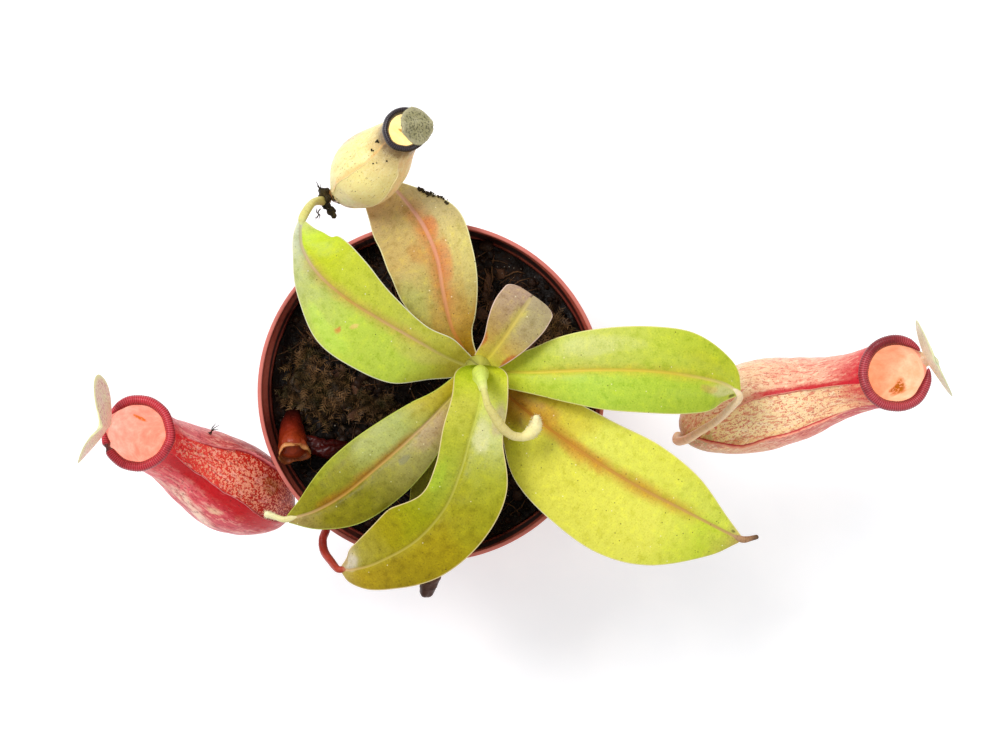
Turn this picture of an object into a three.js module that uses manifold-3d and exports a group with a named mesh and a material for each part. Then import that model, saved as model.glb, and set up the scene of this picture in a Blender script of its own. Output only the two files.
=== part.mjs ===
// Potted tropical pitcher plant: a rosette of leaves in a 9 cm nursery pot, with three grown
// pitchers hanging beside it. Millimetres, +Z up, origin at the centre of the pot's underside.
import * as THREE from 'three';
import * as BufferGeometryUtils from 'three/addons/utils/BufferGeometryUtils.js';
import Module from 'manifold-3d';

const wasm = await Module();
wasm.setup();

// ---------------------------------------------------------------- driving dimensions
const gap = 0.3; // clearance between touching pieces

const pot = {
  rimRadius: 45, // a standard 9 cm pot
  height: 78,
  footRadius: 32,
  wall: 1.3,
  collarHeight: 10,
  collarStep: 0.9, // how far the collar stands proud of the tapered wall
  ledge: 0.9, // the wall steps in this far below the collar, on the inside
  edge: 0.6, // small slopes at the rim, the collar and the foot
  floorTop: 3.4,
  recess: 1.6, // underside between hub and foot ring
  hubRadius: 9,
  footRingInner: 27,
  drainHoles: 8,
  drainCircle: 20,
  drainRadius: 2.8,
  drillDepth: 8,
  segments: 46,
  oval: 0.01, // the thin rim has gone slightly oval, wider along X
};

const soil = { top: 68, bump: 0.35, edgeDip: 0.6 };

const stem = {
  root: [6, 3, 50], // the foot of the rootstock, down in the soil
  tip: [13, 6, 94.4],
  radius: 3.2,
  rootFlare: 0.25, // how much thicker it is where it enters the soil
};

const leafThickness = 0.8;
const leafRows = 13;
const leafColumns = 6;

// ---------------------------------------------------------------- small helpers
const vec = (x, y, z) => new THREE.Vector3(x, y, z);
const lerp = THREE.MathUtils.lerp;
const up = vec(0, 0, 1);

// Smooth curve through rows of numbers of any length; t runs from 0 to 1 over the rows.
function along(rows, t) {
  const place = Math.min(t, 0.999999) * (rows.length - 1);
  const i = Math.floor(place);
  const f = place - i;
  const b = rows[i];
  const c = rows[i + 1];
  const a = rows[i - 1] ?? b.map((v, k) => 2 * v - c[k]);
  const d = rows[i + 2] ?? c.map((v, k) => 2 * v - b[k]);
  return b.map((v, k) => {
    const slopeIn = (c[k] - a[k]) / 2;
    const slopeOut = (d[k] - v) / 2;
    const rise = c[k] - v;
    const square = 3 * rise - 2 * slopeIn - slopeOut;
    const cube = slopeIn + slopeOut - 2 * rise;
    return v + f * (slopeIn + f * (square + f * cube));
  });
}

function directionAlong(rows, t) {
  const before = along(rows, Math.max(t - 0.01, 0));
  const after = along(rows, Math.min(t + 0.01, 1));
  return vec(after[0] - before[0], after[1] - before[1], after[2] - before[2]).normalize();
}

// Joins equal rings of points into one closed solid. Ends are 'fan' (to the ring's middle),
// 'strip' (a flat section: its two rows are stitched) or 'loop' (last ring meets the first).
function loft(rings, ends = 'fan') {
  const n = rings[0].length;
  const points = rings.flat();
  const faces = [];
  const bands = ends === 'loop' ? rings.length : rings.length - 1;
  for (let r = 0; r < bands; r++) {
    const lower = r * n;
    const upper = ((r + 1) % rings.length) * n;
    for (let i = 0; i < n; i++) {
      const j = (i + 1) % n;
      faces.push(lower + i, lower + j, upper + j, lower + i, upper + j, upper + i);
    }
  }
  if (ends === 'fan') {
    for (const [start, flip] of [[0, true], [(rings.length - 1) * n, false]]) {
      const middle = points.length;
      const ring = points.slice(start, start + n);
      points.push(ring.reduce((sum, p) => sum.add(p), vec(0, 0, 0)).divideScalar(n));
      for (let i = 0; i < n; i++) {
        const pair = [start + i, start + ((i + 1) % n)];
        faces.push(middle, ...(flip ? pair.reverse() : pair));
      }
    }
  }
  if (ends === 'strip') {
    for (const [start, flip] of [[0, true], [(rings.length - 1) * n, false]]) {
      for (let i = 0; i < n / 2 - 1; i++) {
        const quad = [start + i, start + i + 1, start + n - 2 - i, start + n - 1 - i];
        const [a, b, c, d] = flip ? quad.reverse() : quad;
        faces.push(a, b, c, a, c, d);
      }
    }
  }
  return facingOut(points, faces);
}

function facingOut(points, faces) {
  let volume = 0;
  for (let i = 0; i < faces.length; i += 3) {
    const [a, b, c] = [points[faces[i]], points[faces[i + 1]], points[faces[i + 2]]];
    volume += a.dot(b.clone().cross(c));
  }
  const geometry = new THREE.BufferGeometry().setFromPoints(points);
  geometry.setIndex(volume > 0 ? faces : faces.reverse());
  geometry.computeVertexNormals();
  return geometry;
}

function toSolid(geometry) {
  const bare = geometry.clone();
  bare.deleteAttribute('normal');
  bare.deleteAttribute('uv');
  const merged = BufferGeometryUtils.mergeVertices(bare, 1e-4);
  const index = merged.getIndex().array;
  const kept = [];
  for (let i = 0; i < index.length; i += 3) {
    const [a, b, c] = [index[i], index[i + 1], index[i + 2]];
    if (a !== b && b !== c && c !== a) kept.push(a, b, c);
  }
  return new wasm.Manifold(new wasm.Mesh({
    numProp: 3,
    vertProperties: new Float32Array(merged.getAttribute('position').array),
    triVerts: new Uint32Array(kept),
  }));
}

function fromSolid(body) {
  const { vertProperties, triVerts } = body.getMesh();
  const geometry = new THREE.BufferGeometry();
  geometry.setAttribute('position', new THREE.BufferAttribute(new Float32Array(vertProperties), 3));
  geometry.setIndex([...triVerts]);
  geometry.computeVertexNormals();
  return geometry;
}

const plant = new THREE.Group();

function addPart(name, geometry, color, roughness = 0.5) {
  const material = new THREE.MeshStandardMaterial({ color, roughness, metalness: 0 });
  const mesh = new THREE.Mesh(geometry, material);
  mesh.name = name;
  plant.add(mesh);
}

// ---------------------------------------------------------------- pot
const wallFoot = { radius: pot.footRadius, z: 0 };
const wallTop = { radius: pot.rimRadius - pot.collarStep, z: pot.height - pot.collarHeight };

function outerRadius(z) {
  return lerp(wallFoot.radius, wallTop.radius, (z - wallFoot.z) / (wallTop.z - wallFoot.z));
}

function innerRadius(z) {
  return outerRadius(z) - pot.wall;
}

function oval(geometry) {
  return geometry.scale(1 + pot.oval, 1 - pot.oval, 1);
}

function makePot() {
  const { edge } = pot;
  const rimInner = innerRadius(wallTop.z) + pot.collarStep + pot.ledge;
  const profile = [
    [0, 0], [pot.hubRadius, 0], [pot.hubRadius + edge, pot.recess],
    [pot.footRingInner, pot.recess], [pot.footRingInner + edge, 0], [wallFoot.radius, 0],
    [outerRadius(wallTop.z - edge), wallTop.z - edge], [pot.rimRadius - edge / 2, wallTop.z],
    [pot.rimRadius, pot.height - edge], [pot.rimRadius - edge, pot.height],
    [rimInner + edge, pot.height], [rimInner, pot.height - edge],
    [innerRadius(wallTop.z), wallTop.z - edge], [innerRadius(pot.floorTop + 1), pot.floorTop + 1],
    [innerRadius(pot.floorTop) - edge, pot.floorTop], [0, pot.floorTop],
  ];
  const outline = profile.map(([r, z]) => new THREE.Vector2(r, z));
  outline.push(outline[0].clone());
  let body = toSolid(new THREE.LatheGeometry(outline, pot.segments).rotateX(Math.PI / 2));
  for (let i = 0; i < pot.drainHoles; i++) {
    const angle = (i / pot.drainHoles) * 2 * Math.PI;
    const drill = new THREE.CylinderGeometry(pot.drainRadius, pot.drainRadius, pot.drillDepth, 12);
    drill.rotateX(Math.PI / 2);
    const reach = pot.drainCircle;
    drill.translate(reach * Math.cos(angle), reach * Math.sin(angle), pot.floorTop);
    body = body.subtract(toSolid(drill));
  }
  return oval(fromSolid(body));
}
addPart('pot', makePot(), 0xa8493c, 0.45);

// ---------------------------------------------------------------- stem
function stemCentre(z) {
  const f = (z - stem.root[2]) / (stem.tip[2] - stem.root[2]);
  return vec(lerp(stem.root[0], stem.tip[0], f), lerp(stem.root[1], stem.tip[1], f), z);
}

function makeStem(extra) {
  const sides = 14;
  const levels = [stem.root[2] - extra, 58, 66, 72, 78, 84, 90, stem.tip[2]];
  return loft(levels.map((z) => {
    const flare = stem.rootFlare * Math.exp(-(((z - soil.top) / 6) ** 2));
    const radius = stem.radius * (1 + flare) + extra;
    const centre = stemCentre(z);
    return Array.from({ length: sides }, (_, i) => {
      const angle = (i / sides) * 2 * Math.PI;
      return vec(centre.x + radius * Math.cos(angle), centre.y + radius * Math.sin(angle), z);
    });
  }));
}
addPart('stem', makeStem(0), 0x7a6a35, 0.7);

// ---------------------------------------------------------------- soil and moss
function soilHeight(x, y) {
  const waves = Math.sin(x * 0.31 + 1) * Math.cos(y * 0.27) + 0.6 * Math.sin(x * 0.13 - y * 0.41 + 2);
  const edge = Math.min(Math.hypot(x, y) / innerRadius(soil.top), 1);
  return soil.top + soil.bump * waves - soil.edgeDip * edge ** 6;
}

function soilRing(radius, z) {
  const count = 36;
  return Array.from({ length: count }, (_, i) => {
    const angle = (i / count) * 2 * Math.PI;
    const [x, y] = [radius * Math.cos(angle), radius * Math.sin(angle)];
    return vec(x, y, z ?? soilHeight(x, y));
  });
}

function makeSoil() {
  const bottom = pot.floorTop + gap + 1;
  const lowerRadius = innerRadius(bottom) - gap;
  const edgeRadius = innerRadius(soil.top) - gap - 0.2;
  const rings = [
    soilRing(lowerRadius * 0.5, bottom), soilRing(lowerRadius, bottom),
    soilRing(innerRadius(36) - gap, 36), soilRing(innerRadius(62) - gap, 62), soilRing(edgeRadius),
  ];
  for (const share of [0.93, 0.8, 0.66, 0.5, 0.34, 0.16]) rings.push(soilRing(edgeRadius * share));
  return fromSolid(toSolid(oval(loft(rings))).subtract(toSolid(makeStem(gap))));
}
addPart('soil', makeSoil(), 0x2a1d16, 0.95);

const mossTufts = [
  { name: 'moss_left', centre: [-31, 1], radii: [8.5, 6], turn: -0.7, height: 2.2 },
  { name: 'moss_middle', centre: [-15, -4.5], radii: [5, 2.6], turn: -0.4, height: 1.5 },
  { name: 'moss_right', centre: [33, 16.5], radii: [4.5, 3], turn: -0.5, height: 1.8 },
];

function makeMoss({ centre, radii, turn, height }) {
  const sides = 14;
  const ring = (share, lift) => Array.from({ length: sides }, (_, i) => {
    const angle = (i / sides) * 2 * Math.PI;
    const uneven = share * (1 + 0.16 * Math.sin(3 * angle + centre[0]) + 0.08 * Math.cos(5 * angle));
    const local = new THREE.Vector2(radii[0] * Math.cos(angle), radii[1] * Math.sin(angle));
    local.multiplyScalar(uneven).rotateAround(new THREE.Vector2(), turn);
    const [x, y] = [centre[0] + local.x, centre[1] + local.y];
    return vec(x, y, soilHeight(x, y) + gap + 0.2 + lift * (1 + 0.2 * Math.sin(2 * angle)));
  });
  return loft([
    ring(0.5, 0), ring(0.95, 0), ring(1, 0.3 * height), ring(0.85, 0.75 * height), ring(0.45, height),
  ]);
}
for (const tuft of mossTufts) addPart(tuft.name, makeMoss(tuft), 0x5e5326, 0.95);

// ---------------------------------------------------------------- leaves
// Each path row is x, y, z of the midrib, then the blade's width to its left and right as seen
// walking from the stem to the tip. cup is how far each margin rises, as a share of its width,
// at the stem and at the tip. seat is the height where the leaf meets the stem.
const leaves = [
  {
    name: 'leaf_upper_left', seat: 88, seatWidth: 2.6, color: 0xaabf3a,
    cup: { left: [0.02, 0.05], right: [0.05, 0.12] },
    path: [
      [4, 9, 90.5, 6.5, 5], [-3, 13, 93.5, 12.5, 4.5], [-12.5, 18.5, 96, 14, 7],
      [-20.5, 23.5, 97, 13, 10], [-27.5, 29.5, 97, 7.5, 11], [-31.5, 35.5, 96.3, 3, 9.5],
      [-32.4, 40, 95.3, 1.8, 6], [-32.2, 43.5, 94.3, 0.8, 0.9],
    ],
  },
  {
    name: 'leaf_top', seat: 84.5, seatWidth: 2.4, color: 0xb39a55,
    cup: { left: [0.05, -0.1], right: [0.05, -0.1] },
    path: [
      [8, 12, 86, 4, 3.5], [5.5, 17, 87.5, 6.5, 6.5], [3.5, 25.5, 88.5, 11, 9], [2, 34, 87.5, 13, 9.5],
      [-1.3, 42.2, 83.7, 13, 9.9], [-5.5, 48.4, 80.2, 12.2, 6],
      [-10.5, 54.3, 77.8, 9, 1.5],
    ],
  },
  {
    name: 'leaf_small', seat: 92.5, seatWidth: 3.2, color: 0xb3a58f,
    cup: { left: [0.2, -0.05], right: [0.2, -0.05] },
    path: [
      [17, 11, 97.5, 4, 5], [20, 15, 100.5, 6, 6.5], [23, 19.5, 101.5, 7.2, 7.5], [26.3, 24.3, 100.4, 6.8, 7],
    ],
  },
  {
    name: 'leaf_right', seat: 90, seatWidth: 2.8, color: 0x9fc22f,
    cup: { left: [0.1, -0.12], right: [0, -0.12] },
    path: [
      [19.5, 5.2, 91.4, 4, 4.2], [26, 5, 94.5, 6, 5.5], [34, 5.3, 97, 8.8, 7.8], [44, 5.6, 98.5, 10.5, 10],
      [56, 5.3, 98.5, 11.3, 10.6], [66, 4.1, 96.5, 10.8, 9.8], [74.5, 2.2, 93.8, 6.6, 7],
      [79, -0.3, 92, 0.9, 1],
    ],
  },
  {
    name: 'leaf_lower_right', seat: 86, seatWidth: 2.6, color: 0xc3cc45,
    cup: { left: [-0.05, -0.08], right: [-0.03, -0.08] },
    path: [
      [20, -1, 87.5, 5, 4.5], [25, -5, 89, 7.5, 10], [31.5, -10, 90.3, 9.5, 16], [41.5, -17, 91, 11, 19],
      [53, -24, 90.5, 12, 20], [64.5, -30, 88.5, 9.5, 16.5], [75, -35.5, 85, 3.8, 8],
      [80.5, -38.3, 82.6, 0.8, 1],
    ],
  },
  {
    name: 'leaf_front', seat: null, color: 0xa9b52a,
    cup: { left: [0.45, -0.25], right: [0.45, -0.3] },
    path: [
      [13.4, 6.8, 95.3, 6.7, 6.7], [12.9, -2, 97.2, 7.2, 7], [10.8, -10.5, 99, 8.3, 7.2],
      [8, -20.5, 100, 12.5, 6.5], [4, -29.5, 99.3, 12.5, 7], [-3.5, -37.8, 97, 11, 10.5],
      [-13.5, -43.5, 93.3, 7.4, 7.8], [-19.5, -45.3, 90.6, 4.4, 5.2], [-22.6, -45.4, 89.3, 0.8, 0.9],
    ],
  },
  {
    name: 'leaf_lower_left', seat: 91, seatWidth: 2.8, color: 0x9a9d55,
    cup: { left: [0, -0.1], right: [0, -0.1] },
    path: [
      [5, -2, 93, 4, 4], [0.3, -7, 94, 6.2, 6.4], [-6, -13, 94.3, 8.6, 8.3], [-13.5, -19.5, 94, 9.6, 9.4],
      [-21.5, -26, 93.2, 8.6, 9], [-29, -30.3, 91.8, 5.2, 6], [-36.3, -32.6, 90, 0.9, 0.9],
    ],
  },
  {
    name: 'leaf_hidden', seat: 81, seatWidth: 2.4, color: 0x6d6a1f,
    cup: { left: [0, 0], right: [0.05, 0] },
    path: [
      [7, -5, 83.5, 4, 3.5], [4, -15, 86, 7, 6], [2, -26, 86, 7.5, 7], [1.3, -36, 84.5, 6, 6],
      [1.5, -44, 82.5, 1, 1],
    ],
  },
];

// The row where a blade leaves the stem: its inner end lies just clear of the bark.
function seatRow(leaf) {
  const centre = stemCentre(leaf.seat);
  const [x, y] = leaf.path[0];
  const outward = vec(x - centre.x, y - centre.y, 0).setLength(stem.radius + gap + 0.1);
  return [centre.x + outward.x, centre.y + outward.y, leaf.seat, leaf.seatWidth, leaf.seatWidth];
}

function makeLeaf(leaf) {
  const rows = leaf.seat === null ? leaf.path : [seatRow(leaf), ...leaf.path];
  const rings = [];
  for (let r = 0; r <= leafRows; r++) {
    const t = r / leafRows;
    const [x, y, z, leftWidth, rightWidth] = along(rows, t);
    const left = up.clone().cross(directionAlong(rows, t)).normalize();
    const section = [];
    for (let c = -leafColumns; c <= leafColumns; c += 2) {
      const share = Math.abs(c) / leafColumns;
      const width = c < 0 ? leftWidth : rightWidth;
      const cup = c < 0 ? leaf.cup.left : leaf.cup.right;
      const middle = vec(x, y, z).addScaledVector(left, -Math.sign(c) * share * width);
      middle.z += lerp(cup[0], cup[1], t) * width * share * share;
      section.push(middle);
    }
    const half = leafThickness / 2;
    const top = section.map((p) => vec(p.x, p.y, p.z + half));
    const bottom = section.map((p) => vec(p.x, p.y, p.z - half)).reverse();
    rings.push([...top, ...bottom]);
  }
  return loft(rings, 'strip');
}
for (const leaf of leaves) addPart(leaf.name, makeLeaf(leaf), leaf.color, 0.4);

// ---------------------------------------------------------------- tendrils, spear and buds
// Rows are x, y, z and radius. Each tendril starts just clear of its leaf's tip.
const cords = [
  {
    name: 'tendril_upper_left', color: 0xb9b55a,
    path: [
      [-31.9, 44.3, 93.9, 1.1], [-30.9, 46.5, 92, 1.1], [-30, 48.5, 88, 1], [-29, 49.4, 83.5, 1.1],
      [-28, 49.8, 79.6, 1.3], [-27.4, 50.2, 77.9, 1.4],
    ],
  },
  {
    name: 'tendril_small', color: 0xb3a58f,
    path: [[25.6, 22.8, 99.2, 0.9], [25.4, 21.6, 96.5, 0.8], [24, 20.5, 93.5, 0.8], [22.4, 19, 92, 0.7]],
  },
  {
    name: 'tendril_right', color: 0xe0bf97,
    path: [
      [79.2, -1.5, 91, 0.9], [77.6, -3.9, 87, 1], [74.8, -7.8, 76.5, 1], [71.2, -10.8, 68, 1.1],
      [69.2, -12.7, 61, 1.2], [67.5, -13.7, 54.5, 1.2], [66.9, -13.6, 48.5, 1.3], [67.7, -12.8, 44.8, 1.5],
    ],
  },
  {
    name: 'tendril_lower_right', color: 0xb9936a,
    path: [[81.2, -38.4, 82.2, 0.9], [83, -38.2, 81.7, 0.7], [84.8, -37.8, 81.3, 0.6]],
  },
  {
    name: 'tendril_front', color: 0xb4452f,
    path: [
      [-23.5, -45.4, 88.7, 0.9], [-25.2, -44.3, 84.5, 1], [-28, -41.8, 77.5, 1.1], [-29, -39.3, 70.5, 1.1],
      [-28.9, -37, 62.5, 1.1], [-31.8, -35.2, 55, 1.1], [-35.8, -34, 47.5, 1.3], [-38.6, -33.2, 44.6, 1.5],
    ],
  },
  {
    name: 'tendril_lower_left', color: 0xd9c98e,
    path: [[-37.2, -32.6, 89.9, 0.9], [-39.5, -31.9, 89.6, 0.9], [-42.6, -31, 89.2, 1.1]],
  },
  {
    name: 'tendril_hidden', color: 0x5b4634,
    path: [[1.3, -44.9, 82.2, 1], [0.6, -47.6, 80.8, 1.4], [-0.7, -50.2, 79.8, 2], [-1.3, -52.6, 79.3, 1.7]],
  },
  {
    name: 'spear_leaf', color: 0xb4cc3c,
    path: [
      [13, 4.9, 97.1, 1.5], [13, 4.8, 99.5, 1.9], [13.1, 4.4, 103, 1.8], [13.5, 2.9, 106.6, 1.2],
      [14, 1, 108.2, 0.9],
    ],
  },
  {
    name: 'spear_tendril', color: 0xd8d184,
    path: [
      [14.2, 0.3, 108.5, 0.8], [15, -2.9, 108.4, 0.9], [16.1, -4.9, 107.5, 1.1], [17.3, -6.9, 106, 1.2],
      [18.9, -9, 104.3, 1.2], [21, -10.7, 102.5, 1.1], [23.2, -11.2, 101.2, 1.1],
    ],
  },
  {
    name: 'spear_bud', color: 0xf0e3ba,
    path: [
      [24.1, -11.1, 100.9, 1.2], [25.7, -10.2, 100.2, 1.6], [27, -8.6, 99.8, 1.6], [27.2, -6.4, 99.6, 0.9],
    ],
  },
];

// Rings of a tapered round rod, with frames carried along the path so that it never twists.
function rodRings(path, sides, steps, shape = () => 1) {
  const rings = [];
  let side = null;
  for (let s = 0; s <= steps; s++) {
    const t = s / steps;
    const [x, y, z, radius] = along(path, t);
    const forward = directionAlong(path, t);
    side ??= (Math.abs(forward.z) > 0.9 ? vec(1, 0, 0) : up.clone()).cross(forward);
    side = side.addScaledVector(forward, -side.dot(forward)).normalize();
    const other = forward.clone().cross(side);
    rings.push(Array.from({ length: sides }, (_, i) => {
      const angle = (i / sides) * 2 * Math.PI;
      const reach = radius * shape(t, angle);
      return vec(x, y, z)
        .addScaledVector(side, reach * Math.cos(angle))
        .addScaledVector(other, reach * Math.sin(angle));
    }));
  }
  return rings;
}
for (const cord of cords) {
  addPart(cord.name, loft(rodRings(cord.path, 8, 3 * (cord.path.length - 1))), cord.color);
}

// ---------------------------------------------------------------- pitchers
// Rows run from the tendril to the mouth: x, y, z and radius of the outside. mouthUp is how far
// the mouth is turned from square across the cup (0) to level (1). The lid stands at the back of
// the mouth ring, on the side that lid.turn (degrees round from +X) points to, lid.reach beyond
// the cup's radius. It leans back by lid.lean degrees, and its margins bend by lid.bend and lean
// by a further lid.tilt degrees, on the clockwise side and on the other.
const pitchers = [
  {
    name: 'left', colors: { cup: 0xb5303a, ring: 0x8f2b35, lid: 0xe5cfa0 }, mouthUp: 0.8,
    path: [
      [-40.4, -32.8, 45.2, 1.6], [-42.4, -32, 47.3, 5], [-45.5, -30.8, 51, 8.6], [-50.1, -28.2, 56.5, 11.6],
      [-55.3, -25, 63.5, 12.5], [-60.7, -21, 71, 11], [-65.6, -17, 78, 9], [-70, -13.6, 85, 8],
      [-74, -10.5, 92, 8.7],
    ],
    ring: { wide: 1.25, thick: 0.9 },
    lid: {
      turn: 160, lean: 1, length: 17, width: 11.3, bend: -3, lift: 0.5, reach: -1.7, tilt: [9, -3],
    },
  },
  {
    name: 'right', colors: { cup: 0xe0a98a, ring: 0xb86a5c, lid: 0xd9a58a }, mouthUp: 0.8,
    path: [
      [69.5, -11.8, 45.4, 1.6], [71.4, -10.9, 47, 4.8], [74.4, -9, 51, 8.2], [80, -6.2, 56.5, 11.4],
      [88.5, -3.7, 63.5, 12.3], [96.5, -1.9, 70.5, 11], [103.6, 0.2, 77.5, 8.9], [110.7, 2.5, 85, 7.9],
      [118.3, 4.7, 93, 8.7],
    ],
    ring: { wide: 1.25, thick: 0.9 },
    lid: {
      turn: 26, lean: -7, length: 17, width: 10.5, bend: -1, lift: 0.5, reach: -0.2, tilt: [-2, 1],
    },
  },
  {
    name: 'top', colors: { cup: 0xe6d79a, ring: 0x54363f, lid: 0xa3a487 }, mouthUp: 0.6,
    path: [
      [-26, 50.8, 79, 1.3], [-23.7, 51.6, 80.5, 3.3], [-21.2, 52.8, 83, 5.8], [-17.8, 55.3, 87, 8.4],
      [-15, 57.3, 91, 9], [-12, 59.7, 95, 8], [-9.4, 62, 98.5, 6.2], [-7.3, 63.8, 102, 5.1],
      [-5.6, 64.9, 105.5, 5],
    ],
    ring: { wide: 0.8, thick: 0.7 },
    lid: { turn: 10, lean: -50, length: 9.4, width: 4.8, bend: 0.8, lift: 0.5, reach: 1.7, tilt: [0, 0] },
  },
];

const cupWall = 0.9;
const cupSides = 16;
const cupFloor = 0.13; // where the hollow starts, as a share of the cup's length
const lidHalf = 0.4; // half a lid's thickness
const foldPower = 1.2; // a lid folds along its midrib: 1 is a sharp fold, 2 a smooth bow

// Two low fringed ribs run down the side of the cup that faces up and towards the plant.
function wingShape(t, angle) {
  const { smoothstep } = THREE.MathUtils;
  const length = smoothstep(t, 0.1, 0.3) * (1 - smoothstep(t, 0.8, 0.95));
  return 1 + 0.06 * length * Math.max(0, Math.cos(2 * angle)) ** 8;
}

function mouthOf(pitcher) {
  const forward = directionAlong(pitcher.path, 1);
  const normal = forward.lerp(up, pitcher.mouthUp).normalize();
  const [x, y, z, radius] = pitcher.path.at(-1);
  return { centre: vec(x, y, z), normal, radius };
}

// The rings turn gradually from square across the cup to the plane of the mouth.
function cupSection(pitcher, t, inset) {
  const [x, y, z, radius] = along(pitcher.path, t);
  const forward = directionAlong(pitcher.path, t);
  const turned = THREE.MathUtils.smoothstep(t, 0.45, 1);
  const normal = forward.lerp(mouthOf(pitcher).normal, turned).normalize();
  const side = up.clone().cross(vec(normal.x, normal.y, 0)).normalize();
  const other = normal.clone().cross(side);
  return Array.from({ length: cupSides }, (_, i) => {
    const angle = (i / cupSides) * 2 * Math.PI;
    const reach = radius * wingShape(t, angle + Math.PI / 2) - inset;
    return vec(x, y, z)
      .addScaledVector(side, reach * Math.cos(angle))
      .addScaledVector(other, reach * Math.sin(angle));
  });
}

function makeCup(pitcher) {
  const rings = [];
  for (let s = 0; s <= 14; s++) rings.push(cupSection(pitcher, s / 14, 0));
  for (let s = 11; s >= 0; s--) rings.push(cupSection(pitcher, lerp(cupFloor, 1, s / 11), cupWall));
  return loft(rings);
}

function makeRing(pitcher) {
  const { centre, normal, radius } = mouthOf(pitcher);
  const side = up.clone().cross(vec(normal.x, normal.y, 0)).normalize();
  const other = normal.clone().cross(side);
  const { wide, thick } = pitcher.ring;
  const lift = gap + thick;
  const rings = [];
  for (let s = 0; s < 24; s++) {
    const angle = (s / 24) * 2 * Math.PI;
    const out = side.clone().multiplyScalar(Math.cos(angle)).addScaledVector(other, Math.sin(angle));
    rings.push(Array.from({ length: 8 }, (_, i) => {
      const round = (i / 8) * 2 * Math.PI;
      return centre.clone()
        .addScaledVector(out, radius - 0.2 + wide * Math.cos(round))
        .addScaledVector(normal, lift + thick * Math.sin(round));
    }));
  }
  return loft(rings, 'loop');
}

function makeLid(pitcher) {
  const { centre, normal, radius } = mouthOf(pitcher);
  const { turn, lean, length, width, bend, lift, reach, tilt } = pitcher.lid;
  const heading = THREE.MathUtils.degToRad(turn);
  const outward = vec(Math.cos(heading), Math.sin(heading), 0);
  const across = up.clone().cross(outward);
  const flat = outward.clone().addScaledVector(normal, -outward.dot(normal)).normalize();
  const foot = centre.clone()
    .addScaledVector(flat, radius + reach)
    .addScaledVector(normal, 2 * gap + 2 * pitcher.ring.thick + lift);
  const rise = up.clone().applyAxisAngle(across, THREE.MathUtils.degToRad(lean));
  const face = rise.clone().cross(across);
  const rings = [];
  for (let s = 0; s <= 8; s++) {
    const t = s / 8;
    const half = Math.max(width * Math.sin(Math.PI * (0.06 + 0.88 * t)) ** 0.7, 0.8);
    const section = [];
    for (let c = -2; c <= 2; c++) {
      const margin = Math.abs(c / 2);
      const slope = Math.tan(THREE.MathUtils.degToRad(lerp(tilt[0], tilt[1], (c + 2) / 4)));
      section.push(foot.clone()
        .addScaledVector(rise, length * t)
        .addScaledVector(outward, length * t * slope * (0.35 + 0.65 * margin))
        .addScaledVector(across, (half * c) / 2)
        .addScaledVector(face, bend * ((half / width) * margin) ** foldPower));
    }
    const front = section.map((p) => p.clone().addScaledVector(face, lidHalf));
    const back = section.map((p) => p.clone().addScaledVector(face, -lidHalf)).reverse();
    rings.push([...front, ...back]);
  }
  return loft(rings, 'strip');
}

for (const pitcher of pitchers) {
  addPart(`${pitcher.name}_cup`, makeCup(pitcher), pitcher.colors.cup, 0.35);
  addPart(`${pitcher.name}_ring`, makeRing(pitcher), pitcher.colors.ring, 0.3);
  addPart(`${pitcher.name}_lid`, makeLid(pitcher), pitcher.colors.lid, 0.4);
}

// ---------------------------------------------------------------- dead pitcher on the soil
const deadPieces = [
  {
    name: 'dead_tube', color: 0x7a2b20, sides: 10, steps: 5,
    path: [
      [-37, -6.3, 69.5, 2], [-37.1, -9, 71.8, 2.9], [-36.8, -11.8, 74.3, 3.5], [-36.4, -14.4, 76.6, 3.7],
    ],
  },
  {
    name: 'dead_lip', color: 0xb5582f, sides: 12, steps: 3,
    path: [[-36.3, -14.9, 77, 3.3], [-36.1, -15.8, 77.7, 4.1], [-35.9, -16.6, 78.3, 3.8]],
  },
  {
    name: 'dead_body', color: 0x4d1a16, sides: 8, steps: 6,
    path: [
      [-31.4, -14.4, 70.9, 2], [-29, -15.4, 71, 2.5], [-26, -15.4, 70.7, 2.3], [-22.8, -14.4, 69.9, 1.2],
    ],
  },
];
for (const piece of deadPieces) {
  addPart(piece.name, loft(rodRings(piece.path, piece.sides, piece.steps)), piece.color, 0.6);
}

export default plant;
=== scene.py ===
import math
import random

import bpy
from mathutils import Euler, Matrix, Vector, noise


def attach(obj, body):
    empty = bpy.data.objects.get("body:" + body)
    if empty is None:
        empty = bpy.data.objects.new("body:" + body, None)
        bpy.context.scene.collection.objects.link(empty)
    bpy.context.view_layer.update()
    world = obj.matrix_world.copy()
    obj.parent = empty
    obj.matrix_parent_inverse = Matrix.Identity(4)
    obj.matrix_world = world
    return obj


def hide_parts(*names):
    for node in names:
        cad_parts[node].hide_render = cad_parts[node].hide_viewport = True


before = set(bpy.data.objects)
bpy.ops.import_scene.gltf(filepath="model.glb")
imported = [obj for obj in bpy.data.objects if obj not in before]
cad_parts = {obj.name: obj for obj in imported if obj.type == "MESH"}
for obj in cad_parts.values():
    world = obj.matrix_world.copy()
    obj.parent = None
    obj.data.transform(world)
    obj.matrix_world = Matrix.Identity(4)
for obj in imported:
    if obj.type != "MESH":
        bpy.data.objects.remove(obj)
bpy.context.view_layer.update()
bpy.ops.object.select_all(action="DESELECT")
mm = 0.001  # shapes are worked out in millimetres and written to the mesh in metres
up = Vector((0, 0, 1))
fullTurn = 2 * math.pi
print("frame loaded with", len(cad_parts), "nodes")


# Curves and small sums

def smooth(low, high, value):
    share = min(max((value - low) / (high - low), 0), 1)
    return share * share * (3 - 2 * share)


def lerp(first, second, share):
    return first + (second - first) * share


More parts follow.
